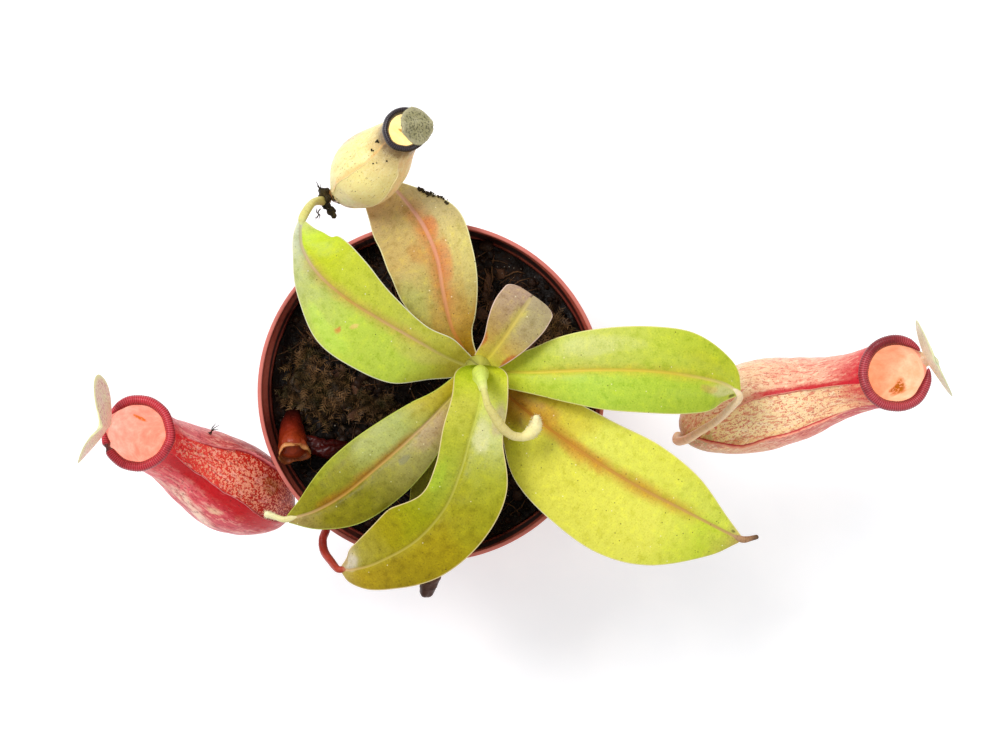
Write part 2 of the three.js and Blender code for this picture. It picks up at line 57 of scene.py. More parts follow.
# A smooth curve through rows of numbers; t runs from 0 to 1 over the rows.
def along(rows, t):
    place = min(max(t, 0), 0.999999) * (len(rows) - 1)
    index = int(place)
    share = place - index
    second, third = rows[index], rows[index + 1]
    first = rows[index - 1] if index else [2 * a - b for a, b in zip(second, third)]
    fourth = rows[index + 2] if index + 2 < len(rows) else [2 * b - a for a, b in zip(second, third)]
    values = []
    for a, b, c, d in zip(first, second, third, fourth):
        slopeIn, slopeOut, rise = (c - a) / 2, (d - b) / 2, c - b
        square = 3 * rise - 2 * slopeIn - slopeOut
        cube = slopeIn + slopeOut - 2 * rise
        values.append(b + share * (slopeIn + share * (square + share * cube)))
    return values


def heading(rows, t, span=0.01):
    before, after = along(rows, max(t - span, 0)), along(rows, min(t + span, 1))
    return (Vector(after[:3]) - Vector(before[:3])).normalized()


def lengthOf(rows):
    points = [Vector(along(rows, step / 60)[:3]) for step in range(61)]
    return sum((b - a).length for a, b in zip(points, points[1:]))


# A cloud of values from -1 to 1 at a point in millimetres, with lumps of the given size.
def lumps(point, size, seed=0.0):
    return noise.noise(Vector(point) / size + Vector((seed, seed * 1.7, seed * 0.6)))


# The direction at an angle from side towards other, which stand square to each other.
def spoke(side, other, angle):
    return side * math.cos(angle) + other * math.sin(angle)


# Mesh making

# Edits the whole of the active mesh by steps, each an operator of bpy.ops.mesh and its settings.
def edit(*steps):
    bpy.ops.object.mode_set(mode="EDIT")
    for step, settings in steps:
        bpy.ops.mesh.select_all(action="SELECT")
        step(**settings)
    bpy.ops.object.mode_set(mode="OBJECT")


def mergeAndTurnOut(distance):
    return ((bpy.ops.mesh.remove_doubles, {"threshold": distance * mm}),
            (bpy.ops.mesh.normals_make_consistent, {"inside": False}))


# A grid primitive is laid over a piece: u runs round it and v along it. shape(u, v) gives the
# point, the straightened place that the pattern follows, and three values for the finish. The
# values are kept per corner, so that they stay crisp where the two edges of the grid meet.
def wrapGrid(name, around, lengthwise, shape):
    bpy.ops.object.select_all(action="DESELECT")
    bpy.ops.mesh.primitive_grid_add(x_subdivisions=around, y_subdivisions=lengthwise, size=1)
    piece = bpy.context.object
    piece.name = name
    straight, field = [], []
    for vertex in piece.data.vertices:
        point, flat, values = shape(vertex.co.x + 0.5, vertex.co.y + 0.5)
        vertex.co = point * mm
        straight.extend(number * mm for number in flat)
        field.extend(values)
    corners = [loop.vertex_index for loop in piece.data.loops]
    for label, numbers in (("straight", straight), ("field", field)):
        attribute = piece.data.attributes.new(label, "FLOAT_VECTOR", "CORNER")
        attribute.data.foreach_set("vector", [numbers[3 * c + axis] for c in corners for axis in range(3)])
    edit(*mergeAndTurnOut(0.004))
    bpy.ops.object.shade_smooth()
    return piece


# Pushes a pattern's points in and out by rows of (height, size of the lumps, seed).
def roughen(pattern, *rows):
    for vertex in pattern.data.vertices:
        vertex.co *= 1 + sum(height * lumps(vertex.co, size, seed) for height, size, seed in rows)


def ballPattern(fineness, *rows):
    bpy.ops.mesh.primitive_ico_sphere_add(subdivisions=fineness, radius=1)
    roughen(bpy.context.object, *rows)
    return bpy.context.object


# A hair is a thin cone of three sides that stands on its place.
def hairPattern():
    bpy.ops.mesh.primitive_cone_add(vertices=3, radius1=1, radius2=0, depth=1, location=(0, 0, 0.5))
    bpy.ops.object.transform_apply(location=True)
    return bpy.context.object


def anyTurn(chance):
    return [chance.uniform(0, fullTurn) for _ in range(3)]


# Many small copies of one shape in a single piece. Each place is (point, turn, size, tone).
def scatter(name, pattern, places):
    corners = [vertex.co.copy() for vertex in pattern.data.vertices]
    faces = [tuple(face.vertices) for face in pattern.data.polygons]
    bpy.data.objects.remove(pattern)
    points, polygons, tones = [], [], []
    for point, turn, size, tone in places:
        start = len(points)
        matrix = Matrix.LocRotScale(Vector(point) * mm, Euler(turn), Vector(size) * mm)
        points.extend(matrix @ corner for corner in corners)
        polygons.extend(tuple(start + index for index in face) for face in faces)
        tones.extend([tone, tone * 7.3 % 1, tone * 3.1 % 1] * len(corners))
    mesh = bpy.data.meshes.new(name)
    mesh.from_pydata(points, [], polygons)
    mesh.attributes.new("field", "FLOAT_VECTOR", "POINT").data.foreach_set("vector", tones)
    piece = bpy.data.objects.new(name, mesh)
    bpy.context.collection.objects.link(piece)
    mesh.shade_smooth()
    return piece


def dress(piece, material, nodes=()):
    piece.data.materials.clear()
    piece.data.materials.append(material)
    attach(piece, "root")
    if nodes:
        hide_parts(*nodes)


# Node making

making = {}  # the finish that is being made: its material, its node tree and its shader's inputs


# A colour written as six hexadecimal digits, as linear red, green, blue and alpha.
def paint(code):
    shares = [int(code[place:place + 2], 16) / 255 for place in (0, 2, 4)]
    return tuple(s / 12.92 if s < 0.04045 else ((s + 0.055) / 1.055) ** 2.4 for s in shares) + (1,)


def plug(socket, value):
    if isinstance(value, bpy.types.NodeSocket):
        making["tree"].links.new(value, socket)
    elif isinstance(value, str):
        socket.default_value = paint(value)
    else:
        socket.default_value = value


def addNode(kind, values=None, **settings):
    made = making["tree"].nodes.new("ShaderNode" + kind)
    for key, value in settings.items():
        setattr(made, key, value)
    for socket, value in (values or {}).items():
        plug(made.inputs[socket], value)
    return made


def mixed(factor, first, second, how="MIX"):
    made = addNode("Mix", {0: factor, 6: first, 7: second}, data_type="RGBA", blend_type=how)
    return made.outputs[2]


def sums(operation, first, second=0.0):
    return addNode("Math", {0: first, 1: second}, operation=operation).outputs[0]


def plus(first, second):
    return sums("ADD", first, second)


def minus(first, second):
    return sums("SUBTRACT", first, second)


def times(first, *others):
    for other in others:
        first = sums("MULTIPLY", first, other)
    return first


def between(value, low, high, start=0.0, end=1.0):
    sockets = {"Value": value, "From Min": low, "From Max": high, "To Min": start, "To Max": end}
    return addNode("MapRange", sockets, interpolation_type="SMOOTHSTEP").outputs[0]


# Lays the second colour over the first where a value runs from low to high.
def layer(first, second, value, low, high, strength=1.0, how="MIX"):
    return mixed(between(value, low, high, 0, strength), first, second, how)


# Lays rows of (colour, value, low, high, strength) over a colour as soft light, which shades it.
def shaded(colour, *rows):
    for row in rows:
        colour = layer(colour, *row, how="SOFT_LIGHT")
    return colour


# Noise with lumps of about the given size in millimetres; stretch lengthens them along an axis.
def cloud(place, size, detail=3.0, stretch=(1, 1, 1), rough=0.55, warp=0.0):
    mapping = addNode("Mapping", {"Vector": place, "Scale": [1 / s for s in stretch]})
    sockets = {"Vector": mapping.outputs[0], "Scale": 1000 / size, "Detail": detail,
               "Roughness": rough, "Distortion": warp}
    return addNode("TexNoise", sockets).outputs[0]


# Round spots: size is the spacing in millimetres, reach the spot's radius as a share of it, and
# kept the share of the spots that show.
def spots(place, size, reach, kept=1.0, stretch=(1, 1, 1)):
    mapping = addNode("Mapping", {"Vector": place, "Scale": [1 / s for s in stretch]})
    cells = addNode("TexVoronoi", {"Vector": mapping.outputs[0], "Scale": 1000 / size})
    inside = between(cells.outputs["Distance"], reach, reach * 0.55)
    chance = addNode("SeparateColor", {0: cells.outputs["Color"]}).outputs[0]
    return times(inside, between(chance, kept + 0.01, kept))


# Lays spots, given as spots() takes them, over a colour.
def speckled(colour, code, strength, *spotted):
    return mixed(times(spots(*spotted), strength), colour, code)


# A pattern that runs from 0 to 1, made to sway to both sides of nothing.
def sway(pattern, amount):
    return times(minus(pattern, 0.5), amount)


# The coordinates of the piece itself, in metres.
def objectPlace():
    return addNode("TexCoord").outputs["Object"]


def attribute(name):
    return addNode("Attribute", attribute_name=name).outputs["Vector"]


def parts(vector):
    return addNode("SeparateXYZ", {0: vector}).outputs


def startFinish(name):
    material = bpy.data.materials.new(name)
    material.use_nodes = True
    making.update(material=material, tree=material.node_tree,
                  inputs=material.node_tree.nodes["Principled BSDF"].inputs)


# Ends the finish being made. height is the relief's pattern and relief its depth, glow how much
# light goes into the surface and depth how far, both depths in millimetres.
def endFinish(colour, height, relief, rough, shine=0.2, glow=0.0, depth=1.0, coat=0.0, coatRough=0.2):
    sockets = {"Base Color": colour, "Roughness": rough, "Specular IOR Level": shine,
               "Subsurface Weight": glow, "Subsurface Radius": (1.0, 0.8, 0.35),
               "Subsurface Scale": depth * mm, "Coat Weight": coat, "Coat Roughness": coatRough}
    if height is not None:
        bump = addNode("Bump", {"Height": height, "Distance": relief * mm, "Strength": 1.0})
        sockets["Normal"] = bump.outputs[0]
    for name, value in sockets.items():
        plug(making["inputs"][name], value)
    return making["material"]


# Light that the surface gives off by itself.
def shining(colour, strength):
    plug(making["inputs"]["Emission Color"], colour)
    plug(making["inputs"]["Emission Strength"], strength)


# Camera, lights and floor

view = {"place": (0.0187, 0.0038, 0.598), "lens": 71.2, "sensor": 36.0}
studio = {
    "world": 0.6, "floorSize": 4.0, "floorColours": ("f2f4f6", "f8f9fa"), "floorGlow": 0.26,
    "lamps": [
        {"name": "bigSoftbox", "place": (-0.5, 0.5, 1.05), "size": 0.6, "power": 10.5},
        {"name": "sideSoftbox", "place": (0.75, -0.25, 0.95), "size": 0.5, "power": 2.4},
    ],
}


def makeCamera():
    data = bpy.data.cameras.new("camera")
    data.lens, data.sensor_width = view["lens"], view["sensor"]
    camera = bpy.data.objects.new("camera", data)
    camera.location = view["place"]
    bpy.context.collection.objects.link(camera)
    bpy.context.scene.camera = camera


def makeStudio():
    scene = bpy.context.scene
    scene.view_settings.view_transform = "Standard"
    world = bpy.data.worlds.new("studioWorld")
    scene.world = world
    world.use_nodes = True
    world.node_tree.nodes["Background"].inputs["Color"].default_value = (0.97, 0.985, 1, 1)
    world.node_tree.nodes["Background"].inputs["Strength"].default_value = studio["world"]
    for lamp in studio["lamps"]:
        data = bpy.data.lights.new(lamp["name"], "AREA")
        data.shape, data.size, data.energy = "DISK", lamp["size"], lamp["power"]
        light = bpy.data.objects.new(lamp["name"], data)
        light.location = lamp["place"]
        light.rotation_euler = (-Vector(lamp["place"])).to_track_quat("-Z", "Y").to_euler()
        bpy.context.collection.objects.link(light)
    bpy.ops.mesh.primitive_plane_add(size=studio["floorSize"])
    floor = bpy.context.object
    floor.name = "floor"
    startFinish("paperFloor")
    place = objectPlace()
    grain = cloud(place, 40)
    colour = mixed(between(grain, 0.3, 0.7), *studio["floorColours"])
    shining(colour, studio["floorGlow"])
    floor.data.materials.append(endFinish(colour, None, 0, rough=0.8))


makeCamera()
makeStudio()
print("camera, lights and floor done")


# Pot: a profile drawn point by point, rounded, and spun round the upright axis

potShape = {
    "rim": 45.0, "height": 78.0, "foot": 32.0, "wall": 1.3, "collar": 10.0, "step": 0.9,
    "ledge": 0.9, "edge": 0.6, "floorTop": 3.4, "recess": 1.6, "hub": 9.0, "footRing": 27.0,
    "holes": 8, "holeCircle": 20.0, "holeRadius": 2.8, "oval": 0.01, "turns": 144, "round": 0.3,
    "lip": 1.05,
}


def potOuter(z):
    wallTop = potShape["height"] - potShape["collar"]
    return lerp(potShape["foot"], potShape["rim"] - potShape["step"], z / wallTop)


def potInner(z):
    return potOuter(z) - potShape["wall"]


def potProfile():
    s = potShape
    top, edge = s["height"] - s["collar"], s["edge"]
    rimInner = potInner(top) + s["step"] + s["ledge"]
    points = [
        (0, 0), (s["hub"], 0), (s["hub"] + edge, s["recess"]), (s["footRing"], s["recess"]),
        (s["footRing"] + edge, 0), (s["foot"], 0), (potOuter(top - edge), top - edge),
        (s["rim"] - edge / 2, top), (s["rim"], s["height"]), (s["rim"] - s["lip"], s["height"]),
        (s["rim"] - s["lip"], s["height"] - 1), (rimInner, s["height"] - 1.8), (rimInner, top + 1),
        (potInner(top), top - edge), (potInner(s["floorTop"]), s["floorTop"]),
        (0, s["floorTop"]),
    ]
    return [Vector((radius, 0, z)) * mm for radius, z in points]


def makePot():
    points = potProfile()
    bpy.ops.object.select_all(action="DESELECT")
    bpy.ops.mesh.primitive_circle_add(vertices=3, radius=mm)
    pot = bpy.context.object
    pot.name = "potShell"
    bpy.ops.object.mode_set(mode="EDIT")
    bpy.ops.mesh.merge(type="CENTER")
    for before, after in zip([Vector()] + points, points):
        if after is not points[0]:
            bpy.ops.mesh.extrude_region_move(TRANSFORM_OT_translate={"value": after - before})
    bpy.ops.object.mode_set(mode="OBJECT")
    edit((bpy.ops.mesh.bevel, {"offset": potShape["round"] * mm, "segments": 4, "affect": "VERTICES"}),
         (bpy.ops.mesh.spin, {"steps": potShape["turns"], "angle": fullTurn, "center": (0, 0, 0),
                              "axis": (0, 0, 1)}), *mergeAndTurnOut(0.005))
    for hole in range(potShape["holes"]):
        angle = fullTurn * hole / potShape["holes"]
        place = Vector((math.cos(angle), math.sin(angle), 0)) * potShape["holeCircle"] * mm
        bpy.ops.mesh.primitive_cylinder_add(vertices=32, radius=potShape["holeRadius"] * mm,
                                            depth=20 * mm, location=place)
        drill = bpy.context.object
        bpy.context.view_layer.objects.active = pot
        cut = pot.modifiers.new("drain", "BOOLEAN")
        cut.operation, cut.object, cut.solver = "DIFFERENCE", drill, "EXACT"
        bpy.ops.object.modifier_apply(modifier=cut.name)
        bpy.data.objects.remove(drill)
    oval = potShape["oval"]
    pot.data.transform(Matrix.Diagonal((1 + oval, 1 - oval, 1, 1)))
    bpy.ops.object.select_all(action="DESELECT")
    pot.select_set(True)
    bpy.ops.object.shade_smooth_by_angle(angle=math.radians(35))
    return pot


# Heights in metres. The inside wall is painted dark, partly wet dirt and partly painted shade, where it is
# nearer the axis than the rim's inner edge.
potLook = {
    "base": ("a03f33", "b0503f"), "grain": "c4705f", "stain": "8a3f33", "stainTop": 0.02,
    # edge is a painted highlight on the rim's up-facing top.
    "dust": "2a1610", "dustFrom": (0.07, 0.0775), "edge": "cf7468", "litRimFrom": (0.0768, 0.0776),
    "wet": "1c0a06", "wetShadeRadius": (0.0441, 0.0437), "wetShadeFrom": (0.0672, 0.0678), "wetShadeTo": (0.0778, 0.0772),
}


def potPlastic():
    startFinish("terracottaPlastic")
    look, place = potLook, objectPlace()
    x, y, height = parts(place)
    radius = sums("SQRT", plus(times(x, x), times(y, y)))
    broad, fine = cloud(place, 14, detail=4), cloud(place, 0.8, detail=3)
    colour = layer(*look["base"], broad, 0.35, 0.65)
    colour = layer(colour, look["grain"], fine, 0.3, 0.75, 0.35)
    stain = times(between(height, look["stainTop"], 0.0), between(broad, 0.4, 0.7))
    colour = mixed(stain, colour, look["stain"])
    dust = times(between(height, *look["dustFrom"]), spots(place, 1.5, 0.3, 0.3))
    colour = mixed(dust, colour, look["dust"])
    # A painted highlight on the rim's up-facing top, in the edge colour.
    edge = times(between(height, *look["litRimFrom"]), between(broad, 0.3, 0.6, 0.6, 1))
    colour = mixed(edge, colour, look["edge"])
    # The inner wall below the rim is darkened: partly wet dirt, partly painted shade.
    wet = times(between(radius, *look["wetShadeRadius"]), between(height, *look["wetShadeFrom"]),
                between(height, *look["wetShadeTo"]), between(broad, 0.2, 0.5, 0.82, 0.98))
    colour = mixed(wet, colour, look["wet"])
    return endFinish(colour, fine, 0.03, between(broad, 0.3, 0.7, 0.4, 0.55), shine=0.3)


dress(makePot(), potPlastic(), ["pot"])
print("pot done")


# Soil: a disc of uneven wet peat, crumbs, chips and fibres

soilShape = {
    "top": 68.0, "bump": 0.35, "edgeDip": 0.6, "coarse": (0.864, 0.576), "coarseSizes": (5.5, 2.4),
    "fine": 0.35, "fineSize": 0.9, "rimGap": 0.15, "sideGap": 0.4, "aboveFloor": 1.3,
    "grid": (260, 190), "side": 0.2,  # side is the grid's share for the hidden side and underside
    "crumbs": 1700, "crumbSize": (0.35, 0.8), "crumbExtra": 1.3, "seed": 11,
    "grit": 30, "gritSize": (0.15, 0.34), "gritLift": 0.7,
    "fibres": 620, "fibreLength": (4, 13), "fibreThick": (0.09, 0.24), "fibreLift": (0.2, 1.0),
    "chips": 60, "chipReach": (20, 38), "chipSize": ((1.2, 3.4), (0.7, 1.5), (0.3, 0.6)), "chipLift": 0.3,
}


def soilHeight(x, y):
    waves = math.sin(x * 0.31 + 1) * math.cos(y * 0.27) + 0.6 * math.sin(x * 0.13 - y * 0.41 + 2)
    edge = min(math.hypot(x, y) / potInner(soilShape["top"]), 1)
    return soilShape["top"] + soilShape["bump"] * waves - soilShape["edgeDip"] * edge ** 6


def groundHeight(x, y):
    rise = soilShape["fine"] * abs(lumps((x, y, 9), soilShape["fineSize"]))
    for level, height, size in zip((0, 3), soilShape["coarse"], soilShape["coarseSizes"]):
        rise += height * lumps((x, y, level), size)
    return soilHeight(x, y) + rise


def makeSoil():
    bottom = potShape["floorTop"] + soilShape["aboveFloor"]
    rim = potInner(soilShape["top"]) - soilShape["rimGap"]
    side = soilShape["side"]

    def shape(u, v):
        angle = fullTurn * u
        if v < side:
            depth = v / side
            z = lerp(bottom, soilShape["top"] - 2, max(0, depth * 2 - 1))
            radius = (potInner(z) - soilShape["sideGap"]) * min(1, depth * 2)
        else:
            radius = rim * (1 - (v - side) / (1 - side))
            z = None
        x, y = radius * math.cos(angle), radius * math.sin(angle)
        x, y = x * (1 + potShape["oval"]), y * (1 - potShape["oval"])
        height = groundHeight(x, y) if z is None else z
        return Vector((x, y, height)), (x, y, height), (0, 0, 0)

    return wrapGrid("peatBed", *soilShape["grid"], shape)


def peatSkin(name, dark, pale, wet, glint="d8ccb8"):
    startFinish(name)
    place = objectPlace()
    broad, fine = cloud(place, 7, detail=5, rough=0.65), cloud(place, 0.5, detail=4)
    tone = parts(attribute("field"))[0]
    share = times(between(broad, 0.42, 0.72), between(fine, 0.3, 0.7))
    share = plus(share, times(tone, 0.5))
    colour = mixed(share, dark, pale)
    # Sparse pale spots in the glint colour are painted glints on the wet peat.
    paintedGlints = times(spots(place, 0.62, 0.22, 0.1), between(broad, 0.48, 0.56))
    colour = mixed(times(paintedGlints, 0.75), colour, glint)
    return endFinish(colour, fine, 0.25, between(fine, 0.35, 0.65, wet, 0.9), shine=0.16)


def groundSpots(count, chance, margin=1.5):
    reach = potInner(soilShape["top"]) - margin
    places = []
    while len(places) < count:
        x, y = chance.uniform(-reach, reach), chance.uniform(-reach, reach)
        if math.hypot(x, y) < reach:
            places.append((x, y))
    return places


def makeCrumbs(chance):
    places = []
    for x, y in groundSpots(soilShape["crumbs"], chance):
        size = chance.uniform(*soilShape["crumbSize"]) + chance.random() ** 6 * soilShape["crumbExtra"]
        shape = [size * chance.uniform(0.6, 1.3) for _ in range(3)]
        turn = anyTurn(chance)
        height = groundHeight(x, y) + 0.25 * size
        places.append(((x, y, height), turn, shape, chance.random() ** 2))
    return scatter("peatCrumbs", ballPattern(2, (0.35, 0.6, 4)), places)


# A thin bent rod of five sides that lies along +X, one unit long.
def fibrePattern(bend):
    bpy.ops.mesh.primitive_cylinder_add(vertices=5, radius=1, depth=1, rotation=(0, math.pi / 2, 0))
    rod = bpy.context.object
    bpy.ops.object.transform_apply(rotation=True)
    edit(*((bpy.ops.mesh.bisect, {"plane_co": (cut, 0, 0), "plane_no": (1, 0, 0)})
           for cut in (-0.25, -0.1, 0.05, 0.2, 0.35)))
    for vertex in rod.data.vertices:
        reach = vertex.co.x
        taper = 1 - 0.7 * abs(2 * reach) ** 2
        vertex.co.y = vertex.co.y * taper + bend[0] * (reach * reach - 0.1) + bend[1] * math.sin(9 * reach)
        vertex.co.z = vertex.co.z * taper - bend[2] * reach * reach
    return rod


def makeFibres(chance):
    pieces = []
    share = soilShape["fibres"] // 3
    for kind, bend in enumerate([(6, 1.5, 2), (-9, 1, 1), (3, 3, 3)]):
        places = []
        for x, y in groundSpots(share, chance, margin=4):
            length = chance.uniform(*soilShape["fibreLength"])
            thick = chance.uniform(*soilShape["fibreThick"])
            turn = (chance.uniform(-0.3, 0.3), chance.uniform(-0.22, 0.22), chance.uniform(0, fullTurn))
            height = groundHeight(x, y) + chance.uniform(*soilShape["fibreLift"])
            places.append(((x, y, height), turn, (length, thick, thick), chance.random()))
        pieces.append(scatter(f"peatFibres{kind + 1}", fibrePattern(bend), places))
    return pieces


def makeChips(chance):
    bpy.ops.mesh.primitive_cube_add(size=2)
    pattern = bpy.context.object
    edit((bpy.ops.mesh.bevel, {"offset": 0.35, "segments": 2}))
    roughen(pattern, (0.3, 0.9, 2))
    places = []
    for index in range(soilShape["chips"]):
        angle = chance.uniform(0.2, 1.5) if index % 2 else chance.uniform(0, fullTurn)
        reach = chance.uniform(*soilShape["chipReach"])
        x, y = reach * math.cos(angle), reach * math.sin(angle)
        size = [chance.uniform(*span) for span in soilShape["chipSize"]]
        turn = (chance.uniform(-0.5, 0.5), chance.uniform(-0.5, 0.5), chance.uniform(0, fullTurn))
        height = groundHeight(x, y) + soilShape["chipLift"]
        places.append(((x, y, height), turn, size, chance.random()))
    return scatter("barkChips", pattern, places)


def makeGrit(chance):
    places = []
    for x, y in groundSpots(soilShape["grit"], chance, margin=3):
        size = chance.uniform(*soilShape["gritSize"])
        shape = (size, size * 0.8, size * 0.7)
        height = groundHeight(x, y) + soilShape["gritLift"]
        places.append(((x, y, height), anyTurn(chance), shape, 0.5))
    return scatter("paleGrit", ballPattern(1), places)


chance = random.Random(soilShape["seed"])
peat = peatSkin("wetPeat", "0d0603", "3a2214", 0.3)
fibreSkin = peatSkin("peatFibre", "1c0f07", "7a5434", 0.35)
dress(makeSoil(), peat, ["soil"])
dress(makeCrumbs(chance), peat)
for fibres in makeFibres(chance):
    dress(fibres, fibreSkin)
dress(makeChips(chance), peatSkin("barkChip", "201009", "6a4630", 0.35))
dress(makeGrit(chance), peatSkin("paleGrit", "8d8270", "e8e2d2", 0.4))
print("soil done")


# Moss: each tuft is a low cushion covered in small leafy shoots

mossShape = {
    "grid": (48, 24), "lift": 0.2, "uneven": 0.3, "unevenSize": 1.6,
    "shootSize": (1.8, 4.2), "rimGap": 3, "shootLeaves": 9,
}
mossTufts = [
    {"node": "moss_left", "centre": (-31, 1), "radii": (8.5, 6), "turn": -0.7, "height": 2.2,
     "shoots": 330, "spread": 1.45},
    {"node": "moss_middle", "centre": (-15, -4.5), "radii": (5, 2.6), "turn": -0.4, "height": 1.5,
     "shoots": 110, "spread": 1.3},
    {"node": "moss_right", "centre": (33, 16.5), "radii": (4.5, 3), "turn": -0.5, "height": 1.8,
     "shoots": 110, "spread": 1.3},
]


# A place on a tuft's turned oval, at a share of its radius.
def tuftPlace(tuft, share, angle):
    cosine, sine = math.cos(tuft["turn"]), math.sin(tuft["turn"])
    a = tuft["radii"][0] * share * math.cos(angle)
    b = tuft["radii"][1] * share * math.sin(angle)
    return tuft["centre"][0] + a * cosine - b * sine, tuft["centre"][1] + a * sine + b * cosine


def mossCushion(tuft):
    rings = [(0, 0), (0.95, 0), (1, 0.3), (0.85, 0.7), (0.45, 0.95), (0, 1)]

    def shape(u, v):
        angle = fullTurn * u
        share, lift = along(rings, v)
        uneven = share * (1 + 0.16 * math.sin(3 * angle + tuft["centre"][0]) + 0.08 * math.cos(5 * angle))
        x, y = tuftPlace(tuft, uneven, angle)
        lumpy = 1 + mossShape["uneven"] * lumps((x, y, 1), mossShape["unevenSize"])
        z = soilHeight(x, y) + mossShape["lift"] + lift * tuft["height"] * lumpy
        return Vector((x, y, z)), (x, y, z), (0.2, 0, 0)

    return wrapGrid(tuft["node"] + "_cushion", *mossShape["grid"], shape)


# One shoot is a row of small pointed leaves on both sides of a bent stalk along +X.
def shootPattern():
    bpy.ops.mesh.primitive_cone_add(vertices=4, radius1=0.05, radius2=0.02, depth=1,
                                    rotation=(0, math.pi / 2, 0), location=(0.5, 0, 0))
    stalk = bpy.context.object
    bpy.ops.object.transform_apply(location=True, rotation=True)
    pieces = [stalk]
    for index in range(mossShape["shootLeaves"]):
        bpy.ops.mesh.primitive_plane_add(size=1, location=(0, 0, 0))
        leaf = bpy.context.object
        side = 1 if index % 2 else -1
        at = 0.12 + 0.1 * index
        for vertex in leaf.data.vertices:
            reach = vertex.co.x + 0.5
            width = 0.09 if reach < 0.5 else 0.02
            across = side * 0.24 * reach + vertex.co.y * width * 2
            vertex.co = Vector((at + 0.22 * reach, across, 0.08 * reach))
        pieces.append(leaf)
    bpy.ops.object.select_all(action="DESELECT")
    for piece in pieces:
        piece.select_set(True)
    bpy.context.view_layer.objects.active = stalk
    bpy.ops.object.join()
    for vertex in stalk.data.vertices:
        vertex.co.z += 0.22 * math.sin(2.4 * vertex.co.x)
    return stalk


def mossShoots(tuft, chance):
    places = []
    for _ in range(tuft["shoots"]):
        angle, share = chance.uniform(0, fullTurn), math.sqrt(chance.random()) * tuft["spread"]
        x, y = tuftPlace(tuft, share, angle)
        dome = tuft["height"] * max(1 - share ** 2.5, 0) + 0.3
        turn = (chance.uniform(-0.8, 0.8), chance.uniform(-0.9, -0.05), chance.uniform(0, fullTurn))
        size = chance.uniform(*mossShape["shootSize"])
        if math.hypot(x, y) < potInner(soilShape["top"]) - mossShape["rimGap"]:
            places.append(((x, y, soilHeight(x, y) + dome), turn, (size, size, size), chance.random()))
    return scatter(tuft["node"] + "_shoots", shootPattern(), places)


def mossSkin():
    startFinish("brownMoss")
    place = objectPlace()
    tone = parts(attribute("field"))[0]
    broad, fine = cloud(place, 4), cloud(place, 0.4)
    colour = layer("241608", "6e4f30", tone, 0.1, 0.9)
    colour = layer(colour, "3c3a16", broad, 0.45, 0.7, 0.6)
    colour = layer(colour, "9c7c58", fine, 0.5, 0.8, 0.5)
    return endFinish(colour, fine, 0.1, rough=0.55, glow=0.05, depth=0.5)


moss = mossSkin()
for tuft in mossTufts:
    dress(mossCushion(tuft), moss, [tuft["node"]])
    dress(mossShoots(tuft, chance), moss)
print("moss done")


# Leaves. Path rows are x, y, z of the midrib, then the blade's width to its left and right as seen
# walking from the stem to the tip. cup is how far each margin rises, as a share of its width, at
# the stem and at the tip; crown is how far each half bulges; wave is the margin's rise and fall.

